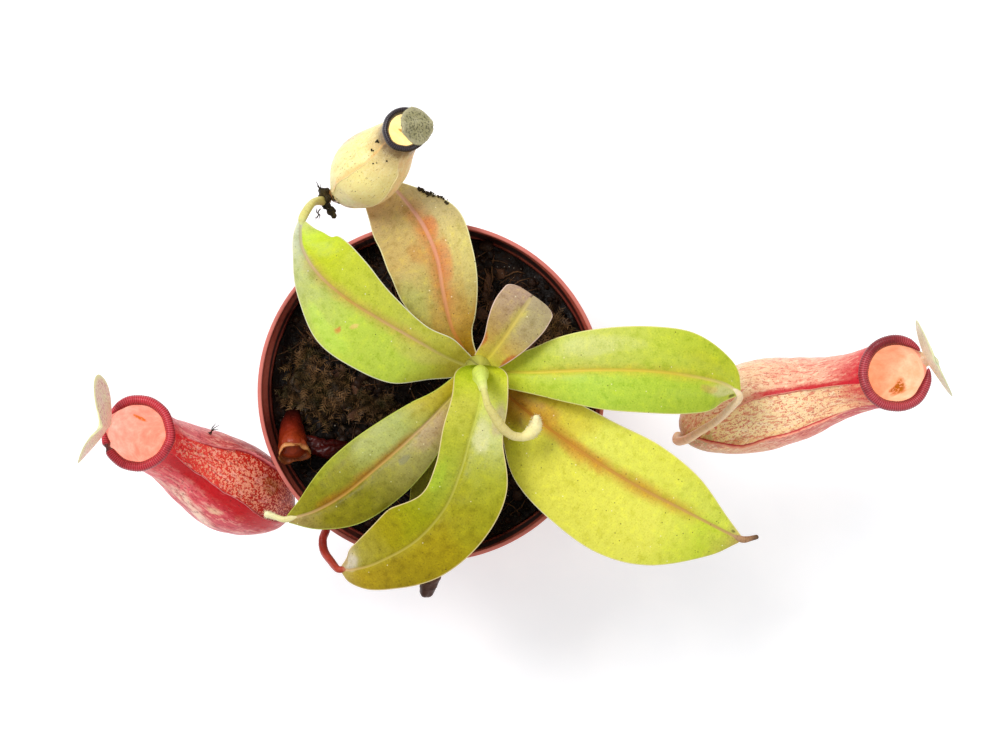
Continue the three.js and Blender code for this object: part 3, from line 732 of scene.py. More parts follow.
stemShape = {"root": (6, 3, 50), "tip": (13, 6, 94.4), "radius": 3.2, "flare": 0.25, "top": 68}
blade = {
    "around": 88, "steps": 150, "thick": 0.5, "gather": 1.6, "groove": 0.3, "grooveWidth": 0.55,
    "rib": 0.7, "ribWidth": 0.8, "relief": 0.16, "reliefSize": 3.2, "sunk": 1.2, "cap": 1.4,
    "notchWidth": 1.2, "dipWidth": 2.4, "keptWidth": 0.35, "waveShift": 2.1,
}
leaves = [
    {
        "name": "leaf_upper_left", "slot": "leaf_lime", "seat": 88, "seatWidth": 2.6,
        "cup": {"left": (0.02, 0.05), "right": (0.05, 0.12)}, "crown": 0.09, "wave": (0.35, 2.2, 0.4),
        "path": [
            (4, 9, 90.5, 6.5, 5), (-3, 13, 93.5, 12.5, 4.5), (-12.5, 18.5, 96, 14, 7),
            (-20.5, 23.5, 97, 13, 10), (-27.5, 29.5, 97, 7.5, 11), (-31.5, 35.5, 96.3, 3, 9.5),
            (-32.4, 40, 95.3, 1.8, 6), (-32.2, 43.5, 94.3, 0.8, 0.9),
        ],
        # The left half's pale stops near the tip are a painted sheen where that half curls.
        "left": [(0.08, "a9a02a"), (0.24, "b5c938"), (0.45, "bad040"), (0.62, "b7c25c"),
                 (0.78, "c2c98c"), (0.95, "ccd49c")],
        "right": [(0.08, "aea72b"), (0.3, "bcc23c"), (0.5, "c0ca34"), (0.65, "bfcc1c"),
                  (0.86, "c3dc30"), (1.0, "c8cc70")],
        "rib": [(0.1, "b9b348"), (0.3, "c9a860"), (0.5, "c39a3e"), (0.7, "c9b074"), (0.9, "b3ae78")],
        "ribWidth": 0.55, "halo": ("c49a4a", 3.0, 0.55, 0.15, 0.75), "margin": ("e0e0a0", 0.35),
        "patches": [(0.475, -0.55, 0.014, 0.09, "d4913c", 0.9), (0.425, -0.35, 0.018, 0.1, "e0c95e", 0.9),
                    (0.49, -0.75, 0.1, 0.2, "bfe04a", 0.5), (0.2, -0.2, 0.12, 0.3, "c6bb50", 0.5)],
        "tint": (0.94, 0.91, 1.3), "mottle": ("a8a440", 0.15),
        "specks": 0.25, "rough": 0.36,
    },
    {
        "name": "leaf_top", "slot": "leaf_tan", "seat": 84.5, "seatWidth": 2.4,
        "cup": {"left": (0.05, -0.1), "right": (0.05, -0.1)}, "crown": 0.07, "wave": (0.3, 1.7, 1.1),
        "path": [
            (8, 12, 86, 4, 3.5), (5.5, 17, 87.5, 6.5, 6.5), (3.5, 25.5, 88.5, 11, 9), (2, 34, 87.5, 13, 9.5),
            (-1.3, 42.2, 83.7, 13, 9.9), (-5.5, 48.4, 80.2, 12.2, 6), (-10.5, 54.3, 77.8, 9, 1.5),
        ],
        "left": [(0.15, "8f7013"), (0.31, "a98a3a"), (0.42, "a89d50"), (0.6, "b59a56"), (0.8, "b09a5c"),
                 (1.0, "c0a06c")],
        "right": [(0.15, "9a7310"), (0.31, "b48d3a"), (0.42, "b4994f"), (0.6, "bfae62"), (0.8, "b9a873"),
                  (1.0, "b5a26c")],
        "rib": [(0.2, "bd7b2c"), (0.45, "c58d62"), (0.6, "c88a66"), (0.8, "c79479"), (1.0, "cca68a")],
        "ribWidth": 0.7, "halo": ("b8632c", 4.4, 0.72, 0.28, 0.92), "margin": ("ddd79a", 0.4),
        "patches": [(0.56, 0.2, 0.1, 0.25, "c05a2e", 0.45), (0.72, 0.16, 0.06, 0.22, "c2582a", 0.5),
                    (0.4, -0.75, 0.12, 0.3, "a4a452", 0.6), (0.5, 0.8, 0.2, 0.25, "c3b86c", 0.5),
                    (0.62, -0.35, 0.08, 0.2, "b07a34", 0.5)],
        "tint": (1.15, 1.15, 1.3), "mottle": ("7c7a3c", 0.25),
        "specks": 0.6, "rough": 0.45,
    },
    {
        "name": "leaf_small", "slot": "leaf_mauve", "seat": 92.5, "seatWidth": 3.2,
        "cup": {"left": (0.2, -0.05), "right": (0.2, -0.05)}, "crown": 0.07, "wave": (0.3, 1.5, 0.2),
        "notch": 0.9, "rounded": (0.001, 0.085),
        "path": [
            (17, 11, 97.5, 4, 5), (20, 15, 100.5, 6, 6.5), (23, 19.5, 101.5, 7.2, 7.5),
            (26.3, 24.3, 100.4, 6.8, 7),
        ],
        "left": [(0.05, "cfc04a"), (0.3, "bb9a4c"), (0.55, "a88c5c"), (0.8, "a88e72"), (1.0, "ab8f7c")],
        "right": [(0.05, "d3cc4c"), (0.3, "bfa04e"), (0.55, "a8966a"), (0.8, "a4966e"), (1.0, "a79678")],
        "rib": [(0.05, "dfd04d"), (0.4, "c8b050"), (0.7, "c2b05c"), (1.0, "b3a070")],
        "ribWidth": 0.8, "halo": ("bcae4c", 2.6, 0.75, 0.1, 0.9), "margin": ("dcbdb0", 0.32),
        "patches": [(0.22, 0.95, 0.14, 0.25, "b4552c", 0.8), (0.25, -0.95, 0.12, 0.25, "b4552c", 0.7)],
        "tint": (1.02, 1.02, 0.98), "mottle": ("8c6a58", 0.12),
        "specks": 0.15, "rough": 0.42,
    },
    {
        "name": "leaf_right", "slot": "leaf_lime", "seat": 90, "seatWidth": 2.8,
        "cup": {"left": (0.1, -0.12), "right": (0, -0.12)}, "crown": 0.1, "wave": (0.3, 2.0, 0.9),
        "path": [
            (19.5, 5.2, 91.4, 4, 4.2), (26, 5, 94.5, 6, 5.5), (34, 5.3, 97, 8.8, 7.8),
            (44, 5.6, 98.5, 10.5, 10), (56, 5.3, 98.5, 11.3, 10.6), (66, 4.1, 96.5, 10.8, 9.8),
            (74.5, 2.2, 93.8, 6.6, 7), (79, -0.3, 92, 0.9, 1),
        ],
        "left": [(0.05, "c6d429"), (0.25, "b6cc44"), (0.45, "bccc62"), (0.65, "b6cc44"), (0.85, "adc42e"),
                 (1.0, "b7c63c")],
        "right": [(0.05, "c6d429"), (0.25, "b4cc40"), (0.45, "accf48"), (0.65, "a9c93c"), (0.85, "a6c436"),
                  (1.0, "b4bc50")],
        "rib": [(0.1, "c9cc3c"), (0.4, "cfc24a"), (0.7, "c8bc42"), (0.85, "c9c46c"), (1.0, "d2caa0")],
        "ribWidth": 0.6, "halo": ("c6c040", 2.4, 0.6, 0.2, 0.95), "margin": ("d8e08c", 0.35),
        "patches": [(0.9, 0.25, 0.08, 0.35, "cfd2a0", 0.6), (0.46, -0.6, 0.14, 0.3, "c8d688", 0.55),
                    (0.8, -0.35, 0.12, 0.4, "b3bf2e", 0.5), (0.84, 0.3, 0.04, 0.15, "c29a50", 0.45),
                    (0.97, 0.6, 0.02, 0.25, "53501e", 0.8)],
        "tint": (1.06, 0.94, 0.95), "mottle": ("9aa43a", 0.15),
        "specks": 0.22, "rough": 0.36,
    },
    {
        "name": "leaf_lower_right", "slot": "leaf_yellow", "seat": 86, "seatWidth": 2.6,
        "cup": {"left": (-0.05, -0.08), "right": (-0.03, -0.08)}, "crown": 0.08, "wave": (0.35, 2.3, 2.0),
        "path": [
            (20, -1, 87.5, 5, 4.5), (25, -5, 89, 7.5, 10), (31.5, -10, 90.3, 9.5, 16),
            (41.5, -17, 91, 11, 19), (53, -24, 90.5, 12, 20), (64.5, -30, 88.5, 9.5, 16.5),
            (75, -35.5, 85, 3.8, 8), (80.5, -38.3, 82.6, 0.8, 1),
        ],
        "left": [(0.15, "8f6410"), (0.3, "b9a428"), (0.4, "c6b838"), (0.5, "cfcf50"), (0.7, "d0d048"),
                 (0.85, "c2ca44"), (1.0, "b9a060")],
        "right": [(0.15, "8c6a0e"), (0.3, "bdbb2e"), (0.4, "c9c440"), (0.5, "cfcb48"), (0.7, "d4d24e"),
                  (0.85, "bcc832"), (1.0, "b09a50")],
        "rib": [(0.2, "9a5f10"), (0.4, "b98228"), (0.6, "b98a3a"), (0.8, "bd9550"), (1.0, "b08a60")],
        "ribWidth": 0.55, "halo": ("b9802a", 3.4, 0.8, 0.12, 0.85), "margin": ("e0d6a2", 0.35),
        "patches": [(0.19, 0.1, 0.1, 0.6, "8a5c0a", 0.75), (0.31, -0.3, 0.08, 0.35, "b98628", 0.6),
                    (0.46, 0.0, 0.08, 0.18, "c08a30", 0.6), (0.92, -0.5, 0.02, 0.22, "54502a", 0.7)],
        "tint": (1.1, 1.1, 1.25), "mottle": ("a89a34", 0.2),
        "specks": 0.55, "rough": 0.4,
    },
    {
        "name": "leaf_front", "slot": "leaf_yellow", "seat": None, "seatWidth": 0,
        "cup": {"left": (0.45, -0.25), "right": (0.45, -0.3)}, "crown": 0.06, "wave": (0.3, 2.4, 0.0),
        "dip": -1.6, "rounded": (0.045, 0.001),
        "path": [
            (13.4, 6.8, 95.3, 6.7, 6.7), (12.9, -2, 97.2, 7.2, 7), (10.8, -10.5, 99, 8.3, 7.2),
            (8, -20.5, 100, 12.5, 6.5), (4, -29.5, 99.3, 12.5, 7), (-3.5, -37.8, 97, 11, 10.5),
            (-13.5, -43.5, 93.3, 7.4, 7.8), (-19.5, -45.3, 90.6, 4.4, 5.2), (-22.6, -45.4, 89.3, 0.8, 0.9),
        ],
        "left": [(0.03, "c3d030"), (0.12, "c8d458"), (0.24, "bcc878"), (0.34, "a3ac2c"), (0.46, "989a18"),
                 (0.58, "9c8f08"), (0.7, "94850c"), (0.84, "a4901a"), (1.0, "b0a060")],
        "right": [(0.03, "c3d734"), (0.15, "ccd254"), (0.28, "abb534"), (0.42, "9dae34"), (0.56, "949a06"),
                  (0.68, "999206"), (0.8, "a09a40"), (0.9, "b8b090"), (1.0, "b4a070")],
        "rib": [(0.05, "c9d84c"), (0.25, "b6be50"), (0.5, "a9a840"), (0.75, "b5a94e"), (1.0, "c9a07c")],
        "ribWidth": 0.45, "halo": ("a39c1c", 2.6, 0.4, 0.2, 0.95), "margin": ("dccf9c", 0.35),
        # The first patch, pale on the left half near the stem, is a painted sheen.
        "patches": [(0.24, -0.35, 0.07, 0.3, "d2d6a4", 0.6), (0.9, 0.35, 0.07, 0.5, "c8c4b4", 0.85),
                    (0.18, -0.8, 0.06, 0.25, "b8a092", 0.55), (0.4, 0.75, 0.06, 0.3, "a3c234", 0.6)],
        "tint": (0.97, 0.89, 0.82), "mottle": ("847c14", 0.18),
        "specks": 0.3, "rough": 0.34,
    },
    {
        "name": "leaf_lower_left", "slot": "leaf_olive", "seat": 91, "seatWidth": 2.8,
        "cup": {"left": (0, -0.1), "right": (0, -0.1)}, "crown": 0.09, "wave": (0.25, 2.0, 1.4),
        "path": [
            (5, -2, 93, 4, 4), (0.3, -7, 94, 6.2, 6.4), (-6, -13, 94.3, 8.6, 8.3),
            (-13.5, -19.5, 94, 9.6, 9.4), (-21.5, -26, 93.2, 8.6, 9), (-29, -30.3, 91.8, 5.2, 6),
            (-36.3, -32.6, 90, 0.9, 0.9),
        ],
        "left": [(0.1, "a8992c"), (0.25, "c4a47c"), (0.38, "aca26a"), (0.5, "9c9350"), (0.65, "80790c"),
                 (0.8, "857a10"), (1.0, "a58c60")],
        "right": [(0.1, "bda824"), (0.25, "bcac44"), (0.38, "aaae68"), (0.5, "adae68"), (0.65, "908a2c"),
                  (0.8, "86800f"), (1.0, "8f8420")],
        "rib": [(0.1, "c4b348"), (0.3, "c9a888"), (0.5, "c29a58"), (0.7, "b98a3e"), (1.0, "c0a080")],
        "ribWidth": 0.5, "halo": ("a05e14", 2.6, 0.85, 0.3, 0.9), "haloSide": 0.9, "margin": ("b9c05c", 0.35),
        "patches": [(0.33, -0.35, 0.1, 0.4, "c0a08c", 0.6), (0.46, -0.35, 0.03, 0.12, "8a8470", 0.7),
                    (0.5, 0.5, 0.12, 0.4, "b0b278", 0.5), (0.7, 0.9, 0.2, 0.18, "9aa02c", 0.5)],
        "tint": (0.9, 0.93, 0.72), "mottle": ("8a7430", 0.2),
        "specks": 0.3, "rough": 0.36,
    },
    {
        "name": "leaf_hidden", "slot": "leaf_shade", "seat": 81, "seatWidth": 2.4,
        "cup": {"left": (0, 0), "right": (0.05, 0)}, "crown": 0.08, "wave": (0.3, 2.0, 0.7),
        "path": [
            (7, -5, 83.5, 4, 3.5), (4, -15, 86, 7, 6), (2, -26, 86, 7.5, 7), (1.3, -36, 84.5, 6, 6),
            (1.5, -44, 82.5, 1, 1),
        ],
        "left": [(0.1, "7e7610"), (0.4, "8c8418"), (0.7, "8c8a30"), (1.0, "7d6a3c")],
        "right": [(0.1, "7e7610"), (0.4, "8f8a20"), (0.7, "8f8c34"), (1.0, "7d6a3c")],
        "rib": [(0.1, "9a8a2c"), (0.5, "a8923c"), (1.0, "8f7a4c")],
        "ribWidth": 0.5, "halo": ("9a7020", 2.4, 0.5, 0.1, 0.9), "margin": ("c0c060", 0.3),
        "patches": [(0.8, 0.0, 0.15, 0.8, "7f6e34", 0.5)],
        "tint": (0.9, 0.9, 0.7), "mottle": ("6a5a20", 0.2),
        "specks": 0.5, "rough": 0.45,
    },
]


def stemCentre(z):
    share = (z - stemShape["root"][2]) / (stemShape["tip"][2] - stemShape["root"][2])
    x = lerp(stemShape["root"][0], stemShape["tip"][0], share)
    return Vector((x, lerp(stemShape["root"][1], stemShape["tip"][1], share), z))


# The first row lies a little inside the stem, so that the leaf grows out of the bark.
def bladeRows(leaf):
    if leaf["seat"] is None:
        return leaf["path"]
    centre = stemCentre(leaf["seat"])
    x, y = leaf["path"][0][:2]
    outward = Vector((x - centre.x, y - centre.y, 0)).normalized() * (stemShape["radius"] - blade["sunk"])
    width = leaf["seatWidth"]
    return [(centre.x + outward.x, centre.y + outward.y, leaf["seat"], width, width)] + leaf["path"]


# The stations of a sweep. The first and last rings close to a point.
def walk(rows, steps, cap):
    stations, run, last = [], 0.0, None
    for step in range(steps + 1):
        v = step / steps
        t = min(max((v - cap) / (1 - 2 * cap), 0), 1)
        values = along(rows, t)
        point = Vector(values[:3])
        run += (point - last).length if last else 0
        last = point
        closing = (1 - min(min(v, 1 - v) / cap, 1)) * math.pi / 2
        stations.append({
            "t": t, "point": point, "forward": heading(rows, t), "values": values[3:], "run": run,
            "shrink": math.cos(closing), "advance": math.sin(closing) * (1 if v > 0.5 else -1),
        })
    return stations


def makeBlade(leaf):
    rows = bladeRows(leaf)
    stations = walk(rows, blade["steps"], blade["cap"] / blade["steps"])
    height, waves, phase = leaf["wave"]
    notch, dip = leaf.get("notch", 0), leaf.get("dip", 0)
    foot, end = leaf.get("rounded", (0.001, 0.001))

    def shape(a, v):
        station = stations[round(v * blade["steps"])]
        t, (leftWidth, rightWidth) = station["t"], station["values"]
        bend = -math.cos(fullTurn * a)
        u = math.copysign(abs(bend) ** blade["gather"], bend)
        side = "left" if u < 0 else "right"
        width = leftWidth if u < 0 else rightWidth
        reach = abs(u) * width
        left = up.cross(heading(rows, t, 0.035)).normalized()
        rounding = math.sqrt(1 - (1 - min(min(t / foot, (1 - t) / end), 1)) ** 2)
        spread = station["shrink"] * lerp(rounding, 1, blade["keptWidth"])
        back = notch * smooth(0.7, 1, t) * math.exp(-(reach / blade["notchWidth"]) ** 2)
        back += dip * smooth(0.08, 0, t) * math.exp(-(reach / blade["dipWidth"]) ** 4)
        middle = station["point"] + left * (-u * width * spread) - station["forward"] * back
        rise = lerp(*leaf["cup"][side], t) * width * u * u
        rise += leaf["crown"] * width * (1 - (2 * abs(u) - 1) ** 2) * smooth(0, 0.15, t) * smooth(1, 0.85, t)
        swing = math.sin(fullTurn * waves * t + phase + (blade["waveShift"] if u < 0 else 0))
        rise += height * swing * u * u * smooth(0, 0.2, t) * smooth(1, 0.8, t)
        relief = lumps((reach * (1 if u > 0 else -1), station["run"], 5), blade["reliefSize"], phase)
        rise += blade["relief"] * relief
        half = blade["thick"] / 2 * abs(math.sin(fullTurn * a)) ** 0.6 * station["shrink"]
        fade = smooth(0, 0.06, t) * smooth(1, 0.9, t)
        if a <= 0.5:
            rise += half - blade["groove"] * math.exp(-(reach / blade["grooveWidth"]) ** 2) * fade
        else:
            rise -= half + blade["rib"] * math.exp(-(reach / blade["ribWidth"]) ** 2) * fade
        signed = math.copysign(reach, u)
        return middle + up * rise, (signed, station["run"], width - reach), (u, t, 0 if a <= 0.5 else 1)

    return wrapGrid(leaf["name"] + "_blade", blade["around"], blade["steps"], shape)


def ramp(value, stops):
    made = addNode("ValToRGB", {0: value})
    elements = made.color_ramp.elements
    for index, (place, code) in enumerate(stops):
        element = elements[index] if index < 2 else elements.new(place)
        element.position, element.color = place, paint(code)
    return made.outputs[0]


# One soft-edged oval patch on a piece, where two measures run along and across it.
def oval(first, second, place, reach):
    shares = [sums("DIVIDE", minus(value, middle), size)
              for value, middle, size in zip((first, second), place, reach)]
    squares = [times(share, share) for share in shares]
    return between(plus(*squares), 1.15, 0.15)


def leafSkin(leaf):
    startFinish(leaf["name"] + "_skin")
    across, length, fromEdge = parts(attribute("straight"))
    u, t, under = parts(attribute("field"))
    flat = addNode("CombineXYZ", {0: across, 1: length}).outputs[0]
    broad, middle = cloud(flat, 9, detail=4), cloud(flat, 2.4, detail=4, rough=0.6)
    fine = cloud(flat, 0.45, detail=3, rough=0.6)
    drift = sway(broad, 0.16)
    shifted = plus(t, drift)
    turned = plus(u, times(drift, 2.0))
    colour = mixed(between(turned, -0.12, 0.12), ramp(shifted, leaf["left"]),
                   ramp(shifted, leaf["right"]))
    reach = sums("ABSOLUTE", across)
    for place, side, high, wide, code, share in leaf["patches"]:
        spot = oval(shifted, turned, (place, side), (high, wide))
        colour = mixed(times(spot, share), colour, code)
    code, width, share, start, end = leaf["halo"]
    halo = between(plus(reach, times(drift, 0.02)), width * mm, 0, 0, share)
    halo = times(halo, between(shifted, start, start + 0.15), between(shifted, end, end - 0.15),
                 between(middle, 0.25, 0.6, 0.55, 1))
    if leaf.get("haloSide"):
        halo = times(halo, between(across, -0.6 * mm, 0.2 * mm, 1 - leaf["haloSide"], 1))
    colour = mixed(halo, colour, code)
    grains = cloud(flat, 0.2, detail=1, rough=0.5)
    colour = shaded(colour, ("e8e8a8", middle, 0.5, 0.72, 0.45), ("4c4a10", middle, 0.5, 0.28, 0.45),
                    ("f2f0c0", fine, 0.54, 0.75, 0.6), ("3c3a0c", fine, 0.46, 0.25, 0.75),
                    ("30300c", grains, 0.45, 0.25, 0.3))
    code, amount = leaf["mottle"]
    mottle = times(between(cloud(flat, 1.1, detail=4, rough=0.75), 0.52, 0.62, 0, amount),
                  between(broad, 0.35, 0.6, 0.4, 1))
    colour = mixed(mottle, colour, code)
    rib = between(reach, leaf["ribWidth"] * mm, leaf["ribWidth"] * 0.35 * mm, 0, 0.85)
    colour = mixed(rib, colour, ramp(t, leaf["rib"]))
    code, width = leaf["margin"]
    edge = between(fromEdge, width * mm, width * 0.35 * mm, 0, 0.9)
    colour = mixed(edge, colour, code)
    colour = speckled(colour, "4a3c18", 0.75, flat, 1.3, 0.16, leaf["specks"] * 0.3)
    # Tiny pale spots over the leaf are painted glints.
    colour = speckled(colour, "f6f2cc", 0.5, flat, 1.7, 0.12, 0.2)
    colour = mixed(times(under, 0.45), colour, "b9b98a")
    colour = mixed(1.0, colour, (*leaf["tint"], 1), "MULTIPLY")
    veins = cloud(flat, 0.9, detail=2, stretch=(1.0, 3.5, 1))
    height = plus(times(veins, 0.6), times(fine, 0.4))
    rough = between(middle, 0.3, 0.7, leaf["rough"] - 0.05, leaf["rough"] + 0.12)
    return endFinish(colour, height, 0.09, rough, glow=0.08, depth=0.7, shine=0.16)


for leaf in leaves:
    dress(makeBlade(leaf), leafSkin(leaf), [leaf["name"]])
print("leaves done")


# Rods: stem, tendrils, the rolled spear leaf and its bud. Rows are x, y, z and radius.

rodShape = {"cap": 5, "bowl": 0.8, "overlap": ((0.93, 0.6, 0.45), (0.975, 0.3, 0.8))}
tendrils = [
    {
        "name": "tendril_upper_left", "slot": "tendril_pale", "leaf": "leaf_upper_left",
        "path": [(-31.9, 44.3, 93.9, 1.1), (-30.9, 46.5, 92, 1.1), (-30, 48.5, 88, 1),
                 (-29, 49.4, 83.5, 1.1), (-28, 49.8, 79.6, 1.3), (-27.4, 50.2, 77.9, 1.4)],
        "stops": [(0, "c8d08c"), (0.3, "d2ca78"), (0.7, "d0c678"), (1, "a98a50")], "rings": 0.2,
    },
    {
        "name": "tendril_small", "slot": "tendril_pale", "leaf": None,
        "path": [(25.6, 22.8, 99.2, 0.9), (25.4, 21.6, 96.5, 0.8), (24, 20.5, 93.5, 0.8),
                 (22.4, 19, 92, 0.7)],
        "stops": [(0, "b3a070"), (1, "c9b48c")], "rings": 0.2,
    },
    {
        "name": "tendril_right", "slot": "tendril_pale", "leaf": "leaf_right",
        "path": [(79.2, -1.5, 91, 0.9), (77.6, -3.9, 87, 1), (74.8, -7.8, 76.5, 1), (71.2, -10.8, 68, 1.1),
                 (69.2, -12.7, 61, 1.2), (67.5, -13.7, 54.5, 1.2), (66.9, -13.6, 48.5, 1.3),
                 (67.7, -12.8, 44.8, 1.5)],
        "stops": [(0, "e6dcb8"), (0.2, "eed4ac"), (0.5, "f0cca0"), (0.8, "ecbc90"), (1, "dca878")],
        "rings": 0.15,
    },
    {
        "name": "tendril_lower_right", "slot": "tendril_dry", "leaf": "leaf_lower_right",
        "path": [(81.2, -38.4, 82.2, 0.9), (83, -38.2, 81.7, 0.7), (84.8, -37.8, 81.3, 0.6)],
        "stops": [(0, "b9936a"), (0.6, "a8805c"), (1, "5c4430")], "rings": 0.5,
    },
    {
        "name": "tendril_front", "slot": "tendril_red", "leaf": "leaf_front",
        "path": [(-23.5, -45.4, 88.7, 0.9), (-25.2, -44.3, 84.5, 1), (-28, -41.8, 77.5, 1.1),
                 (-29, -39.3, 70.5, 1.1), (-28.9, -37, 62.5, 1.1), (-31.8, -35.2, 55, 1.1),
                 (-35.8, -34, 47.5, 1.3), (-38.6, -33.2, 44.6, 1.5)],
        "stops": [(0, "b8805c"), (0.14, "a8402c"), (0.5, "a03020"), (1, "9c3022")], "rings": 0.15,
    },
    {
        "name": "tendril_lower_left", "slot": "tendril_pale", "leaf": "leaf_lower_left",
        "path": [(-37.2, -32.6, 89.9, 0.8), (-39.5, -31.9, 89.6, 0.75), (-41.6, -31.3, 89.3, 0.9)],
        "stops": [(0, "d8c894"), (0.5, "ddd498"), (1, "ebe4b5")], "rings": 0.1,
        "hairs": (170, 0.8, 0.06), "hairsFrom": 0.45,  # count, length and width
    },
    {
        "name": "tendril_hidden", "slot": "tendril_dry", "leaf": "leaf_hidden",
        "path": [(1.3, -44.9, 82.2, 1.3), (0.6, -47.6, 80.8, 1.9), (-0.7, -50.2, 79.8, 2.2),
                 (-1.3, -52.3, 79.3, 1.8)],
        "stops": [(0, "6a5030"), (0.4, "5a3c30"), (1, "4f342c")], "rings": 0.5, "shrivel": 0.2,
    },
]
spear = {
    "leaf": [(13, 4.9, 97.1, 1.5), (13, 4.8, 99.5, 1.9), (13.1, 4.4, 103, 1.8), (13.5, 2.9, 106.6, 1.2),
             (14, 1, 108.2, 0.9)],
    "tendril": [(14, 1, 108.2, 0.8), (14.2, 0.3, 108.5, 0.8), (15, -2.9, 108.4, 0.9),
                (16.1, -4.9, 107.5, 1.1), (17.3, -6.9, 106, 1.2), (18.9, -9, 104.3, 1.2),
                (21, -10.7, 102.5, 1.1), (23.2, -11.2, 101.2, 1.1), (24.1, -11.1, 100.9, 1)],
    "bud": [(23.2, -11.2, 101.2, 1.1), (24.1, -11.1, 100.9, 1.2), (25.7, -10.2, 100.2, 1.6),
            (27, -8.6, 99.8, 1.6), (27.2, -6.4, 99.6, 0.9)],
    "hairs": (420, 0.9, 0.07), "hairsFrom": 0.35,
}


# Frames are carried along the path so that the rod never twists. bowl is how far the end cap
# bulges, as a share of the radius, and below zero it is hollow.
def makeRod(name, rows, swell=lambda t, angle, place: 1.0, around=24, perMm=3.0,
            bowl=rodShape["bowl"]):
    steps = max(int(lengthOf(rows) * perMm), 16)
    stations = walk(rows, steps, rodShape["cap"] / steps)
    side = None
    for station in stations:
        forward = station["forward"]
        if side is None:
            side = (Vector((1, 0, 0)) if abs(forward.z) > 0.9 else up).cross(forward)
        side = (side - forward * side.dot(forward)).normalized()
        station["side"], station["other"] = side.copy(), forward.cross(side)

    def shape(a, v):
        station = stations[round(v * steps)]
        angle = fullTurn * a
        radius = station["values"][0]
        out = spoke(station["side"], station["other"], angle)
        straight = (radius * math.cos(angle), radius * math.sin(angle), station["run"])
        reach = radius * swell(station["t"], angle, straight) * station["shrink"]
        depth = bowl if station["advance"] > 0 else rodShape["bowl"]
        centre = station["point"] + station["forward"] * station["advance"] * radius * depth
        return centre + out * reach, straight, (angle / fullTurn, station["t"], 0)

    return wrapGrid(name, around, steps, shape)


def rodSkin(name, stops, rings=0.3, rough=0.45, fleck="5a4020"):
    startFinish(name)
    place = attribute("straight")
    t = parts(attribute("field"))[1]
    broad = cloud(place, 2.5, stretch=(1, 1, 4))
    fine = cloud(place, 0.35, stretch=(1, 1, 2.5))
    bands = cloud(place, 0.5, stretch=(6, 6, 1))
    shifted = plus(t, sway(broad, 0.1))
    colour = ramp(shifted, stops)
    colour = shaded(colour, ("f4eccc", broad, 0.45, 0.7, 0.35))
    colour = layer(colour, fleck, bands, 0.5, 0.7, rings, "MULTIPLY")
    colour = shaded(colour, ("40300c", fine, 0.5, 0.25, 0.4))
    return endFinish(colour, plus(fine, bands), 0.06, rough, glow=0.1, depth=0.8)


def stemSwell(t, angle, place):
    scars = 0.12 * abs(math.sin(place[2] * 0.9 + math.sin(angle) * 1.2)) ** 4
    return 1 + scars + 0.12 * lumps(place, 2.2, 3) + 0.05 * lumps(place, 0.8, 1)


def makeStem():
    rows = []
    for z in (stemShape["root"][2], 58, 66, 72, 78, 84, 90, stemShape["tip"][2] - 1):
        flare = stemShape["flare"] * math.exp(-((z - stemShape["top"]) / 6) ** 2)
        rows.append((*stemCentre(z), stemShape["radius"] * (1 + flare)))
    return makeRod("rootstock", rows, stemSwell, around=48, perMm=2.5)


# A tendril starts under its leaf's tip, at rows of place on the leaf, depth below it and radius.
def tendrilRows(tendril):
    rows = list(tendril["path"])
    owner = next((leaf for leaf in leaves if leaf["name"] == tendril["leaf"]), None)
    if owner:
        ribs = bladeRows(owner)
        for t, below, radius in reversed(rodShape["overlap"]):
            x, y, z = along(ribs, t)[:3]
            rows.insert(0, (x, y, z - below, radius))
    return rows


def makeTendril(tendril):
    shrivel = tendril.get("shrivel", 0.05)

    def swell(t, angle, place):
        return 1 + shrivel * (lumps(place, 1.6, 2) + 0.6 * math.sin(3 * angle + 2 * t))

    return makeRod(tendril["name"] + "_rod", tendrilRows(tendril), swell)


# The young leaf is still rolled: its outer edge overlaps as a step that runs up the roll.
def rollSwell(t, angle, place):
    share = (angle / fullTurn + 0.15 + 0.1 * t) % 1
    return (1 + 0.3 * smooth(0, 0.06, share) * (1 - share)) * (1 + 0.03 * lumps(place, 1.5))


def budSwell(t, angle, place):
    return 1 + 0.12 * lumps(place, 0.8, 6)


# Fine hairs stand on a rod from start to its tip, and lean more towards the tip.
def hairsOn(name, rows, count, length, width, chance, start):
    places = []
    for _ in range(count):
        t = chance.uniform(start, 1)
        values, forward = along(rows, t), heading(rows, t)
        side = forward.orthogonal().normalized()
        angle = chance.uniform(0, fullTurn)
        out = spoke(side, forward.cross(side), angle)
        out = (out + forward * (0.35 + 0.8 * smooth(0.9, 1, t)) * chance.uniform(0.2, 1.6)).normalized()
        point = Vector(values[:3]) + out * values[3] * 0.82
        turn = out.to_track_quat("Z", "Y").to_euler()
        places.append((point, turn, (width, width, length * chance.uniform(0.5, 1.2)), chance.random()))
    return scatter(name, hairPattern(), places)


def hairSkin(name, dark, pale):
    startFinish(name)
    tone = parts(attribute("field"))[0]
    grain = cloud(objectPlace(), 0.4)
    colour = mixed(tone, dark, pale)
    colour = layer(colour, pale, grain, 0.4, 0.7, 0.3)
    return endFinish(colour, None, 0, rough=0.6, glow=0.2, depth=0.4, shine=0.3)


